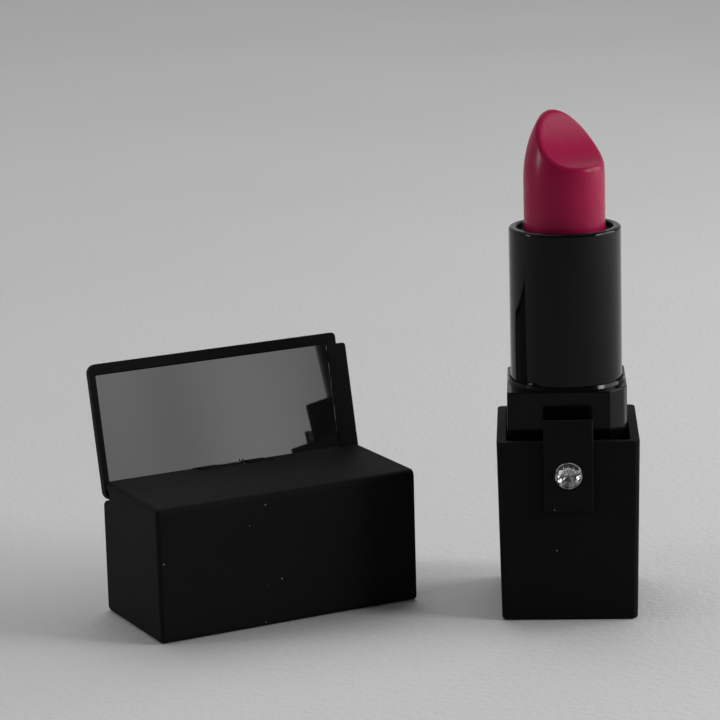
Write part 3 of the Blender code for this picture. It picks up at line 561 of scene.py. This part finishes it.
def makeCasing():
    low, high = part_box("base_casing")
    corner, wall = casingForm["corner"], casingForm["wall"]
    shell = roundedSlab("casingShell", low.xy, high.xy, [corner] * 4, low.z, high.z,
                        casingForm["foot"], casingForm["rim"])
    # the sides lean in towards the foot, as a moulded box does
    half, middle = (high.x - low.x) / 2, (low.z + high.z) / 2
    for vertex in shell.data.vertices:
        vertex.co.x *= 1 + casingForm["draft"] / half * (vertex.co.z - middle) / middle
    innerLow, innerHigh = (low.x + wall, low.y + wall), (high.x - wall, high.y - wall)
    hollow = extruded("hollow", roundedOutline(innerLow, innerHigh, [casingForm["innerCorner"]] * 4, 4),
                      low.z + casingForm["floor"], high.z + fits["over"])
    radius = stoneForm["radius"] + 2 * stoneForm["foilWall"] + stripForm["gap"]
    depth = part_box("stone_setting")[1].y + stripForm["gap"]
    well = drilled("well", radius, -depth, fits["run"], softBlack, onFront(0), 64)
    cutBy(shell, hollow, well)
    softened(shell, casingForm["innerRim"])
    return fitted(shell, "base", softBlack, "soft_matte_black", "base_casing")


def makeStrip():
    low, high = stripLow, stripHigh
    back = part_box("base_casing")[0].y - stripForm["gap"]
    strip = roundedSlab("stoneStrip", (low.x, low.z), (high.x, high.z), [stripForm["corner"]] * 4,
                        -back, -low.y, stripForm["backEdge"], stripForm["edge"], frontFace)
    hole = stoneForm["radius"] + 3 * stoneForm["foilWall"]
    cutBy(strip, drilled("drill", hole, -fits["run"], fits["run"], softBlack, onFront(back), 64))
    softened(strip, stripForm["backEdge"], segments=2)
    return fitted(strip, "base", softBlack, "soft_matte_black", "front_strip")


def around(radius, share, height):
    turn = math.tau * share
    return radius * math.cos(turn), radius * math.sin(turn), height


# round brilliant: octagonal table, kites, girdle and a shallow pavilion
def makeStone():
    girdle = stoneLow.y + stoneForm["crown"]
    points = []
    sides, beltSides = stoneForm["sides"], stoneForm["beltSides"]
    for index in range(sides):
        points.append(around(stoneForm["table"], index / sides, stoneForm["crown"]))
        points.append(around(stoneForm["kite"], (index + 0.5) / sides, stoneForm["kiteRise"]))
    for index in range(beltSides):
        for level in (0, stoneForm["belt"]):
            points.append(around(stoneForm["radius"], index / beltSides, level))
    for index in range(sides):
        points.append(around(stoneForm["waist"], index / sides, -stoneForm["waistDepth"]))
    points.append((0, 0, -stoneForm["pavilion"]))
    shape = bmesh.new()
    for point in points:
        shape.verts.new(point)
    bmesh.ops.convex_hull(shape, input=shape.verts)
    bmesh.ops.dissolve_limit(shape, angle_limit=math.radians(0.5), verts=shape.verts, edges=shape.edges)
    stone = fromBmesh("cutCrystal", shape, onFront(girdle))
    return fitted(stone, "base", cutStone(), "clear_stone", "rhinestone")


# foil-backed cup: a thin rolled rim and a cone that follows the stone
def makeSetting():
    girdle = stoneLow.y + stoneForm["crown"]
    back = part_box("stone_setting")[1].y - girdle
    rim = stoneForm["rim"]
    inside = stoneForm["radius"] + rim
    outside = inside + 2 * rim
    profile = []
    for step in range(stoneForm["bowlSteps"] + 1):
        share = step / stoneForm["bowlSteps"]
        profile.append((inside * share, -rim - stoneForm["pavilion"] * (1 - share ** stoneForm["bowl"])))
    profile += arcPoints((inside + rim, 0), rim, 180, 0, 6)
    profile += [(outside, -back), (0, -back)]
    # the foil carries painted facet shade
    foil = silverFoilPaintedShade(stonePlace)
    cup = turned("foilSetting", profile, foil, onFront(girdle), 96)
    softened(cup)
    return fitted(cup, "base", foil, "silver_foil", "stone_setting")


collarForm = {"cutWidth": 2.6 * mm, "cutDepth": 4.0 * mm, "belly": (1.95 * mm, 2.5 * mm),
              "frontCorner": 0.5 * mm, "backCorner": 0.9 * mm, "edge": 0.2 * mm, "clearance": 0.15 * mm,
              "ringRise": 0.5 * mm, "ringWall": 0.25 * mm, "ringSlope": 0.1 * mm, "ringRoot": 2.0 * mm,
              "ringOverlap": 0.3 * mm, "soft": 0.06 * mm}


def makeCollar():
    low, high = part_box("collar_block")
    top = high.z - collarForm["ringRise"]
    small, large = collarForm["frontCorner"], collarForm["backCorner"]
    start = high.x - collarForm["cutWidth"]
    outline = arcPoints((low.x + small, low.y + small), small, 180, 270, 10) + [(start, low.y)]
    outline += [(start + collarForm["belly"][0], low.y + collarForm["belly"][1])]
    outline += [(high.x, low.y + collarForm["cutDepth"])]
    outline += arcPoints((high.x - large, high.y - large), large, 0, 90, 10)
    outline += arcPoints((low.x + large, high.y - large), large, 90, 180, 10)
    block = extruded("collarBlock", outline, low.z, top)
    bevelled(block, collarForm["edge"], lambda point: point.z > top - fits["touch"], 5)
    tubeLow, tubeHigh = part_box("outer_tube")
    bore = (tubeHigh.x - tubeLow.x) / 2 + collarForm["clearance"]
    wall, inside = bore + collarForm["ringWall"], bore - collarForm["ringOverlap"]
    root = top - collarForm["ringRoot"]
    ring = [(inside, root), (wall, root), (wall, top), (wall - collarForm["ringSlope"], high.z)]
    ring.append((inside, high.z))
    middle = Matrix.Translation((0, tubeAxis.y, 0))
    joinedTo(block, turned("ring", ring, collarBlack, middle, 160))
    cutBy(block, drilled("hole", bore, low.z - fits["over"], high.z + fits["over"], collarBlack, middle, 160))
    softened(block, collarForm["soft"], segments=2)
    return fitted(block, "base", collarBlack, "gloss_black", "collar_block")


makeCasing()
makeStrip()
makeStone()
makeSetting()
makeCollar()
print("base made")

# tube, cup and bullet
tubeForm = {"wall": 0.45 * mm, "lip": 1.15 * mm, "lipHeight": 0.7 * mm, "edge": 0.45 * mm,
            "innerEdge": 0.27 * mm}
cupForm = {"wall": 0.4 * mm, "floor": 0.8 * mm, "radius": 6.55 * mm, "edge": 0.1 * mm, "lug": 1.2 * mm,
           "lugHeight": 1.4 * mm, "lugRoot": 0.2 * mm, "lugCorner": 0.1 * mm}


def makeTube():
    low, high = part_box("outer_tube")
    outside = (high.x - low.x) / 2
    inside, lip = outside - tubeForm["wall"], outside - tubeForm["lip"]
    edge, inner = tubeForm["edge"], tubeForm["innerEdge"]
    shelf = high.z - tubeForm["lipHeight"]
    profile = [(inside, low.z), (outside, low.z)]
    profile += arcPoints((outside - edge, high.z - edge), edge, 0, 90, 8)
    profile += arcPoints((lip + inner, high.z - inner), inner, 90, 180, 8)
    profile += [(lip, shelf), (inside, shelf)]
    tube = turned("polishedTube", profile, glossBlack, Matrix.Translation((0, tubeAxis.y, 0)), 192)
    softened(tube)
    return fitted(tube, "tube", glossBlack, "gloss_black", "outer_tube")


def makeCup():
    low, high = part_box("bullet_cup")
    radius, edge = cupForm["radius"], cupForm["edge"]
    inside, floor = radius - cupForm["wall"], low.z + cupForm["floor"]
    profile = [(0, low.z), (radius, low.z)] + arcPoints((radius - edge, high.z - edge), edge, 0, 90, 4)
    profile += [(inside, high.z), (inside, floor), (0, floor)]
    middle = Matrix.Translation((0, tubeAxis.y, 0))
    cup = turned("waxCup", profile, plastic, middle, 128)
    half, lugZ = cupForm["lug"] / 2, low.z + cupForm["lugHeight"]
    root = radius - cupForm["lugRoot"]
    for start, end in ((low.x, -root), (root, high.x)):
        lug = roundedSlab("lug", (start, tubeAxis.y - half), (end, tubeAxis.y + half),
                          [cupForm["lugCorner"]] * 4, lugZ - half, lugZ + half, steps=3)
        joinedTo(cup, lug)
    softened(cup)
    return fitted(cup, "carrier", plastic, "mechanism_plastic", "bullet_cup")


bulletForm = {"radius": 6.05 * mm, "foot": 5.95 * mm, "straight": 7.0 * mm, "rise": 19.2 * mm,
              "taper": 0.62, "cutTurn": math.radians(-48), "cutLow": 9.4 * mm, "cutReach": 5.9 * mm,
              "cutCurve": 109.5, "hub": 1.8 * mm, "edge": 0.7 * mm, "steps": 192, "shoulder": 0.9 * mm,
              "lineSteps": (16, 8, 12)}


def cutHeight(across):
    return bulletForm["cutLow"] + bulletForm["cutCurve"] * (bulletForm["cutReach"] - across) ** 2


def domeRadius(height):
    share = (height - bulletForm["straight"]) / (bulletForm["rise"] - bulletForm["straight"])
    return bulletForm["radius"] * max(1 - max(share, 0) ** 2, 0) ** bulletForm["taper"]


# walks out from the hub until the scoop meets the dome
def scoopEdge(turn):
    near, far = 0, 2 * bulletForm["radius"]
    for _ in range(50):
        reach = (near + far) / 2
        across, aside = bulletForm["hub"] + reach * math.cos(turn), reach * math.sin(turn)
        height = min(cutHeight(across), bulletForm["rise"])
        if math.hypot(across, aside) < domeRadius(height):
            near = reach
        else:
            far = reach
    return near


def bulletLine(turn):
    reach = scoopEdge(turn)
    edge = bulletForm["edge"]

    def onScoop(distance):
        across = bulletForm["hub"] + distance * math.cos(turn)
        return Vector((across, distance * math.sin(turn), cutHeight(across)))

    crest = onScoop(reach)
    side = math.atan2(crest.y, crest.x)

    def onSide(height):
        radius = domeRadius(height)
        return Vector((radius * math.cos(side), radius * math.sin(side), height))

    scoopSteps, rollSteps, sideSteps = bulletForm["lineSteps"]
    line = [onScoop((reach - edge) * step / scoopSteps) for step in range(1, scoopSteps + 1)]
    start, end = line[-1], onSide(crest.z - edge)
    for step in range(1, rollSteps + 1):
        share = step / rollSteps
        line.append(start * (1 - share) ** 2 + crest * (2 * share * (1 - share)) + end * share ** 2)
    for step in range(1, sideSteps + 1):
        line.append(onSide(end.z + (bulletForm["straight"] - end.z) * step / sideSteps))
    return line, side


def makeBullet():
    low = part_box("lipstick_bullet")[0]
    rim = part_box("outer_tube")[1].z
    rings = []
    for index in range(bulletForm["steps"]):
        line, side = bulletLine(math.tau * index / bulletForm["steps"])
        for radius, height in ((bulletForm["radius"], -bulletForm["shoulder"]),
                               (bulletForm["foot"], -bulletForm["shoulder"]),
                               (bulletForm["foot"], low.z - rim)):
            line.append(Vector((radius * math.cos(side), radius * math.sin(side), height)))
        rings.append(line)
    shape = bmesh.new()
    hub = shape.verts.new((bulletForm["hub"], 0, cutHeight(bulletForm["hub"])))
    foot = shape.verts.new((0, 0, low.z - rim))
    columns = [[shape.verts.new(point) for point in line] for line in rings]
    for index, column in enumerate(columns):
        after = columns[(index + 1) % len(columns)]
        shape.faces.new((hub, column[0], after[0]))
        shape.faces.new((foot, after[-1], column[-1]))
        for step in range(len(column) - 1):
            shape.faces.new((column[step], column[step + 1], after[step + 1], after[step]))
    place = Matrix.Translation((0, tubeAxis.y, rim)) @ Matrix.Rotation(bulletForm["cutTurn"], 4, "Z")
    bullet = fromBmesh("waxBullet", shape, place)
    softened(bullet, angle=60)
    return fitted(bullet, "carrier", wax, "raspberry_wax", "lipstick_bullet")


makeTube()
makeCup()
makeBullet()
print("tube, cup and bullet made")

# cap, mirror door and hinge
capForm = {"width": 20.6 * mm, "length": 42.4 * mm, "wall": 1.2 * mm, "endWall": 1.4 * mm,
           "frontWall": 1.15 * mm, "corner": 0.9 * mm, "endEdge": 0.7 * mm, "edge": 0.1 * mm,
           "collarClearance": 0.2 * mm}
hingeForm = {"inset": 2.1 * mm, "radius": 0.75 * mm, "span": 12.0 * mm, "clearance": 0.25 * mm,
             "pin": 0.35 * mm, "pinClearance": 0.1 * mm, "pinLength": 22.0 * mm, "chamfer": 0.15 * mm,
             "ledge": 0.3 * mm, "troughClearance": 0.35 * mm, "step": 0.45 * mm, "neck": 1.1 * mm}
doorForm = {"thickness": 2.3 * mm, "gap": 0.35 * mm, "edge": 1.1 * mm, "innerEdge": 0.12 * mm,
            "endCorner": 1.35 * mm, "mouthCorner": 0.65 * mm, "shortfall": 0.85 * mm,
            "tongueReach": 0.7 * mm, "tongueInset": 1.8 * mm, "tongueDrop": 1.45 * mm,
            "tongueRoot": 3.0 * mm, "tongueCorner": 0.5 * mm, "tongueEdge": 0.1 * mm,
            "knuckleRoot": 0.3 * mm, "soft": 0.06 * mm, "open": math.radians(hinge["range_deg"][1])}
mirrorForm = {"endBorder": 0.9 * mm, "mouthBorder": 1.75 * mm, "edgeBorder": 1.7 * mm,
              "hingeBorder": 2.5 * mm, "thickness": 0.9 * mm, "recess": 0.1 * mm, "tape": 0.2 * mm,
              "tapeInset": 1.0 * mm, "bevel": 0.03 * mm, "corner": 0.25 * mm, "tapeCorner": 0.5 * mm,
              "tapeEdge": 0.04 * mm}
springForm = {"span": 4.0 * mm, "wire": 0.12 * mm, "radius": 0.62 * mm, "turns": 6.0, "leg": 0.9 * mm}

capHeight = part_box("cap_shell")[1].z
pivotAcross = capForm["width"] / 2 - hingeForm["inset"]
pivotUp = pivotPlace.z
capOrigin = Vector((pivotPlace.x, pivotPlace.y, 0)) - capAcross * pivotAcross
acrossCap = alongCap(capOrigin)
capFrame = Matrix.Translation(capOrigin) @ Matrix((capAlong, capAcross, (0, 0, 1))).transposed().to_4x4()
pivotFrame = capFrame @ Matrix.Translation((0, pivotAcross, pivotUp))
doorFrame = pivotFrame @ Matrix.Rotation(-doorForm["open"], 4, "X")
# local x, y, z of an outline drawn across the door become across, out, along
acrossDoor = doorFrame @ Matrix(((0, 0, 1), (1, 0, 0), (0, 1, 0))).to_4x4()
# a profile turned about Z is laid along the cap
pinFrame = pivotFrame @ Matrix.Rotation(math.pi / 2, 4, "Y")


def capSection():
    half, corner = capForm["width"] / 2, capForm["corner"]
    outline = arcPoints((-half + corner, corner), corner, 180, 270, 12)
    outline += arcPoints((half - corner, corner), corner, 270, 360, 12)
    hang = pivotUp - hingeForm["inset"] - hingeForm["troughClearance"] - hingeForm["clearance"]
    wall = pivotAcross - fits["gap"]
    outline += [(half, hang), (wall + hingeForm["ledge"], hang), (wall, hang + hingeForm["step"])]
    outline += [(wall, pivotUp - hingeForm["neck"])]
    outline += arcPoints((pivotAcross, pivotUp), hingeForm["radius"], -50, 50, 12)
    outline += [(pivotAcross + hingeForm["radius"] / 2, capHeight)]
    outline += arcPoints((-half + corner, capHeight - corner), corner, 90, 180, 12)
    return outline


def capBlock(low, high):
    outline = [(low[0], low[1]), (high[0], low[1]), (high[0], high[1]), (low[0], high[1])]
    return extruded("block", outline, low[2], high[2], capFrame)


def makeCap():
    half, end, wall = capForm["width"] / 2, capForm["length"] / 2, capForm["wall"]
    shell = extruded("capShell", capSection(), -end, end)
    bevelled(shell, capForm["endEdge"], lambda point: point.z < -end + fits["touch"])
    shell.data.transform(acrossCap)
    side, roof = half - wall, capHeight - capForm["frontWall"]
    collarLow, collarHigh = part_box("collar_block")
    right = (collarHigh.x - collarLow.x) / 2 + capForm["collarClearance"]
    inner = [(-side, wall), (side, wall), (side, roof - collarForm["cutDepth"])]
    inner += [(right - collarForm["cutWidth"], roof), (-side, roof)]
    hollow = extruded("hollow", inner, -end + capForm["endWall"], end + fits["over"], acrossCap)
    reach = hingeForm["radius"] + hingeForm["clearance"]
    longHalf = hingeForm["span"] / 2 + hingeForm["clearance"]
    pocket = capBlock((-longHalf, pivotAcross - reach, pivotUp - reach),
                      (longHalf, half + fits["over"], capHeight + fits["over"]))
    drill, pinEnd = hingeForm["pin"] + hingeForm["pinClearance"], hingeForm["pinLength"] / 2 + fits["seat"]
    hole = drilled("hole", drill, -pinEnd, pinEnd, softBlack, pinFrame, 32)
    cutBy(shell, hollow, pocket, hole)
    softened(shell, capForm["edge"], 42)
    return fitted(shell, "cap", softBlack, "soft_matte_black", "cap_shell")


def doorSpan():
    end, half = capForm["length"] / 2, capForm["width"] / 2
    return -end, end - doorForm["shortfall"], -half - pivotAcross, half - pivotAcross


def doorBlock(name, low, high):
    outline = [(low[0], low[1]), (high[0], low[1]), (high[0], high[1]), (low[0], high[1])]
    return extruded(name, outline, low[2], high[2], doorFrame)


doorInner = capHeight + doorForm["gap"] - pivotUp
mirrorFace = doorInner + mirrorForm["recess"]
mirrorBack = mirrorFace + mirrorForm["thickness"]


def mirrorSpan():
    left, right, free, hingeSide = doorSpan()
    low = (left + mirrorForm["endBorder"], free + mirrorForm["edgeBorder"])
    return low, (right - mirrorForm["mouthBorder"], hingeSide - mirrorForm["hingeBorder"])


def makeDoor():
    left, right, free, hingeSide = doorSpan()
    outer = doorInner + doorForm["thickness"]
    radii = [doorForm["endCorner"], doorForm["mouthCorner"], doorForm["mouthCorner"], doorForm["endCorner"]]
    plate = roundedSlab("mirrorDoor", (left, free), (right, hingeSide), radii, doorInner, outer,
                        doorForm["innerEdge"], doorForm["edge"], doorFrame)
    tongueEnd = capForm["length"] / 2 + doorForm["tongueReach"]
    edge = doorForm["tongueEdge"]
    tongue = roundedSlab("tongue", (right - doorForm["tongueRoot"], free + doorForm["tongueInset"]),
                         (tongueEnd, hingeSide - doorForm["tongueInset"]), [doorForm["tongueCorner"]] * 4,
                         doorInner, outer - doorForm["tongueDrop"], edge, edge, doorFrame)
    joinedTo(plate, tongue)
    radius = hingeForm["radius"]
    web = [(-radius, 0)] + arcPoints((0, 0), radius, 180, 360, 20)[1:-1] + [(radius, 0)]
    root = doorInner + doorForm["knuckleRoot"]
    web += [(radius, root), (-radius / 2, root), (-radius / 2, radius)]
    for side in (1, -1):
        ends = sorted((side * springForm["span"] / 2, side * hingeForm["span"] / 2))
        joinedTo(plate, extruded("knuckle", web, ends[0], ends[1], acrossDoor))
    drill, reach = hingeForm["pin"] + hingeForm["pinClearance"], hingeForm["span"]
    hole = drilled("hole", drill, -reach, reach, softBlack, pinFrame, 32)
    low, high = mirrorSpan()
    bed = doorBlock("bed", (low[0] - fits["gap"], low[1] - fits["gap"], doorInner - fits["over"]),
                    (high[0] + fits["gap"], high[1] + fits["gap"],
                     mirrorBack + mirrorForm["tape"] + 2 * fits["gap"]))
    cutBy(plate, hole, bed)
    softened(plate, doorForm["soft"], 42, 2)
    return fitted(plate, "door", softBlack, "soft_matte_black", "door_frame")


def makeMirror():
    low, high = mirrorSpan()
    glass = roundedSlab("mirrorPlate", low, high, [mirrorForm["corner"]] * 4, mirrorFace, mirrorBack,
                        mirrorForm["bevel"], 0, doorFrame)
    softened(glass)
    fitted(glass, "door", silveredGlass(), "mirror_silver", "mirror_glass")
    inset, edge = mirrorForm["tapeInset"], mirrorForm["tapeEdge"]
    start = mirrorBack + fits["gap"]
    tape = roundedSlab("mirrorTape", (low[0] + inset, low[1] + inset), (high[0] - inset, high[1] - inset),
                       [mirrorForm["tapeCorner"]] * 4, start, start + mirrorForm["tape"], edge, edge,
                       doorFrame)
    softened(tape)
    fitted(tape, "door", foamTape(), "foam_tape", "mirror_tape")


def makePin():
    end, radius = hingeForm["pinLength"] / 2, hingeForm["pin"]
    tip = radius - hingeForm["chamfer"]
    profile = [(0, -end), (tip, -end), (radius, -end + hingeForm["chamfer"])]
    profile += [(radius, end - hingeForm["chamfer"]), (tip, end), (0, end)]
    pin = turned("hingePin", profile, wireSteel, pinFrame, 48)
    softened(pin, angle=30)
    return fitted(pin, "cap", wireSteel, "hinge_steel", "hinge_pin")


def makeSpring():
    values = {"Turns": springForm["turns"], "Radius": springForm["radius"], "Wire": springForm["wire"]}
    values.update({"Length": springForm["span"] - 2 * fits["seat"], "Leg": springForm["leg"]})
    values.update({"Steps": 240, "Surface": wireSteel})
    mesh = bpy.data.meshes.new("torsionSpring")
    spring = throughNodes("torsionSpring", mesh, wireCoil, values, pivotFrame)
    softened(spring, angle=50)
    return fitted(spring, "cap", wireSteel, "hinge_steel", "hinge_spring")


makeCap()
makeDoor()
makeMirror()
makePin()
makeSpring()
print("cap and mirror door made")

# the pieces inside keep their own shapes and get their finishes
insideFinishes = {"base_weight": platedSteel(), "mechanism_seat": plastic, "guide_tube": plastic,
                  "retaining_ring": plastic, "spiral_sleeve": plastic, "brake_ring": brakeRubber()}
for nodeName, finish in insideFinishes.items():
    part = frame["nodes"][nodeName]
    for materialSlot in part.material_slots:
        materialSlot.material = finish
print("inside pieces finished")

# camera, floor and light
viewForm = {"place": (-4.99 * mm, -442.8 * mm, 137.75 * mm), "heading": math.radians(3.35),
            "down": math.radians(12.74), "roll": math.radians(1.55), "lens": 151.4, "sensor": 36,
            "clip": 0.01}


def makeCamera():
    heading, down, roll = viewForm["heading"], viewForm["down"], viewForm["roll"]
    right = Vector((math.cos(heading), math.sin(heading), 0))
    level = math.cos(down)
    ahead = Vector((-math.sin(heading) * level, math.cos(heading) * level, -math.sin(down)))
    up = right.cross(ahead)
    tiltedRight = right * math.cos(roll) - up * math.sin(roll)
    tiltedUp = up * math.cos(roll) + right * math.sin(roll)
    data = bpy.data.cameras.new("studioCamera")
    data.lens = viewForm["lens"]
    data.sensor_width = viewForm["sensor"]
    data.clip_start = viewForm["clip"]
    camera = bpy.data.objects.new("studioCamera", data)
    turn = Matrix((tiltedRight, tiltedUp, -ahead)).transposed().to_4x4()
    camera.matrix_world = Matrix.Translation(viewForm["place"]) @ turn
    bpy.context.scene.collection.objects.link(camera)
    bpy.context.scene.camera = camera


floorForm = {"half": 3.0, "drop": 0.02 * mm}


def makeFloor():
    shape = bmesh.new()
    bmesh.ops.create_grid(shape, x_segments=1, y_segments=1, size=floorForm["half"])
    floor = fromBmesh("studioFloor", shape)
    floor.data.transform(Matrix.Translation((0, 0, -floorForm["drop"])))
    grain = {"Scale": 900.0, "Patch Scale": 6.0, "Roughness": 0.85, "Spread": 0.05, "Depth": 0.00012}
    tones = ((0.6, 0.602, 0.6), (0.68, 0.682, 0.679))
    floor.data.materials.append(simpleFinish("paleCloth", tones, grain, Specular_IOR_Level=0.2))


# a broad key from the right, a soft one overhead, and two windows low at the sides
softLights = {"keySoftbox": {"place": (0.6, 0.12, 0.26), "aim": (0, 0, 0.03), "size": 0.5, "power": 3.1},
              "topSoftbox": {"place": (-0.1, 0.7, 1.3), "aim": (0, 0.5, 0), "size": 1.0, "power": 5.2},
              "leftWindow": {"place": (-0.66, -0.1, 0.17), "aim": (0, 0, 0.06), "size": 0.12, "power": 0.8},
              "rightWindow": {"place": (0.63, -0.18, 0.25), "aim": (0, 0, 0.06), "size": 0.14, "power": 1.7}}


def makeLight(name, place, aim, size, power):
    data = bpy.data.lights.new(name, "AREA")
    data.shape = "SQUARE"
    data.size = size
    data.energy = power
    light = bpy.data.objects.new(name, data)
    light.location = place
    light.rotation_euler = (Vector(aim) - Vector(place)).to_track_quat("-Z", "Y").to_euler()
    bpy.context.scene.collection.objects.link(light)


# a dim room in front and to the right, a pale wall behind and to the left, and soft drapes
roomForm = {"pale": (-0.6, 0.8, -0.1), "start": -0.55, "end": 0.75, "dimTone": (0.122, 0.122, 0.123, 1),
            "paleTone": (0.46, 0.462, 0.465, 1), "drapes": 20.0, "stretch": (1.0, 1.0, 0.15),
            "strength": 0.35, "contrast": 1.3}


def makeWorld():
    world = bpy.data.worlds.new("studioRoom")
    world.use_nodes = True
    tree = world.node_tree
    sky = tree.nodes["Background"]
    place = tree.nodes.new("ShaderNodeTexCoord").outputs["Generated"]
    facing = addNode(tree, "ShaderNodeVectorMath", {0: place, 1: roomForm["pale"]}, operation="DOT_PRODUCT")
    change = {"Value": facing.outputs["Value"], "From Min": roomForm["start"], "From Max": roomForm["end"]}
    share = addNode(tree, "ShaderNodeMapRange", change, interpolation_type="SMOOTHSTEP")
    mixed = addNode(tree, "ShaderNodeMix", {"Factor": share.outputs["Result"]}, data_type="RGBA")
    mixed.inputs[6].default_value = roomForm["dimTone"]
    mixed.inputs[7].default_value = roomForm["paleTone"]
    folds = addNode(tree, "ShaderNodeMapping", {"Vector": place, "Scale": roomForm["stretch"]}).outputs[0]
    drapes = {"Vector": folds, "Scale": roomForm["drapes"], "Detail": 1.0}
    soft = addNode(tree, "ShaderNodeTexNoise", drapes).outputs["Fac"]
    strength = maths(tree, "ADD", maths(tree, "MULTIPLY", soft, roomForm["contrast"]), roomForm["strength"])
    tree.links.new(mixed.outputs[2], sky.inputs["Color"])
    tree.links.new(strength, sky.inputs["Strength"])
    bpy.context.scene.world = world
    bpy.context.scene.view_settings.view_transform = "Standard"


makeCamera()
makeFloor()
makeWorld()
for lightName, light in softLights.items():
    makeLight(lightName, **light)
print("camera, floor and light made")
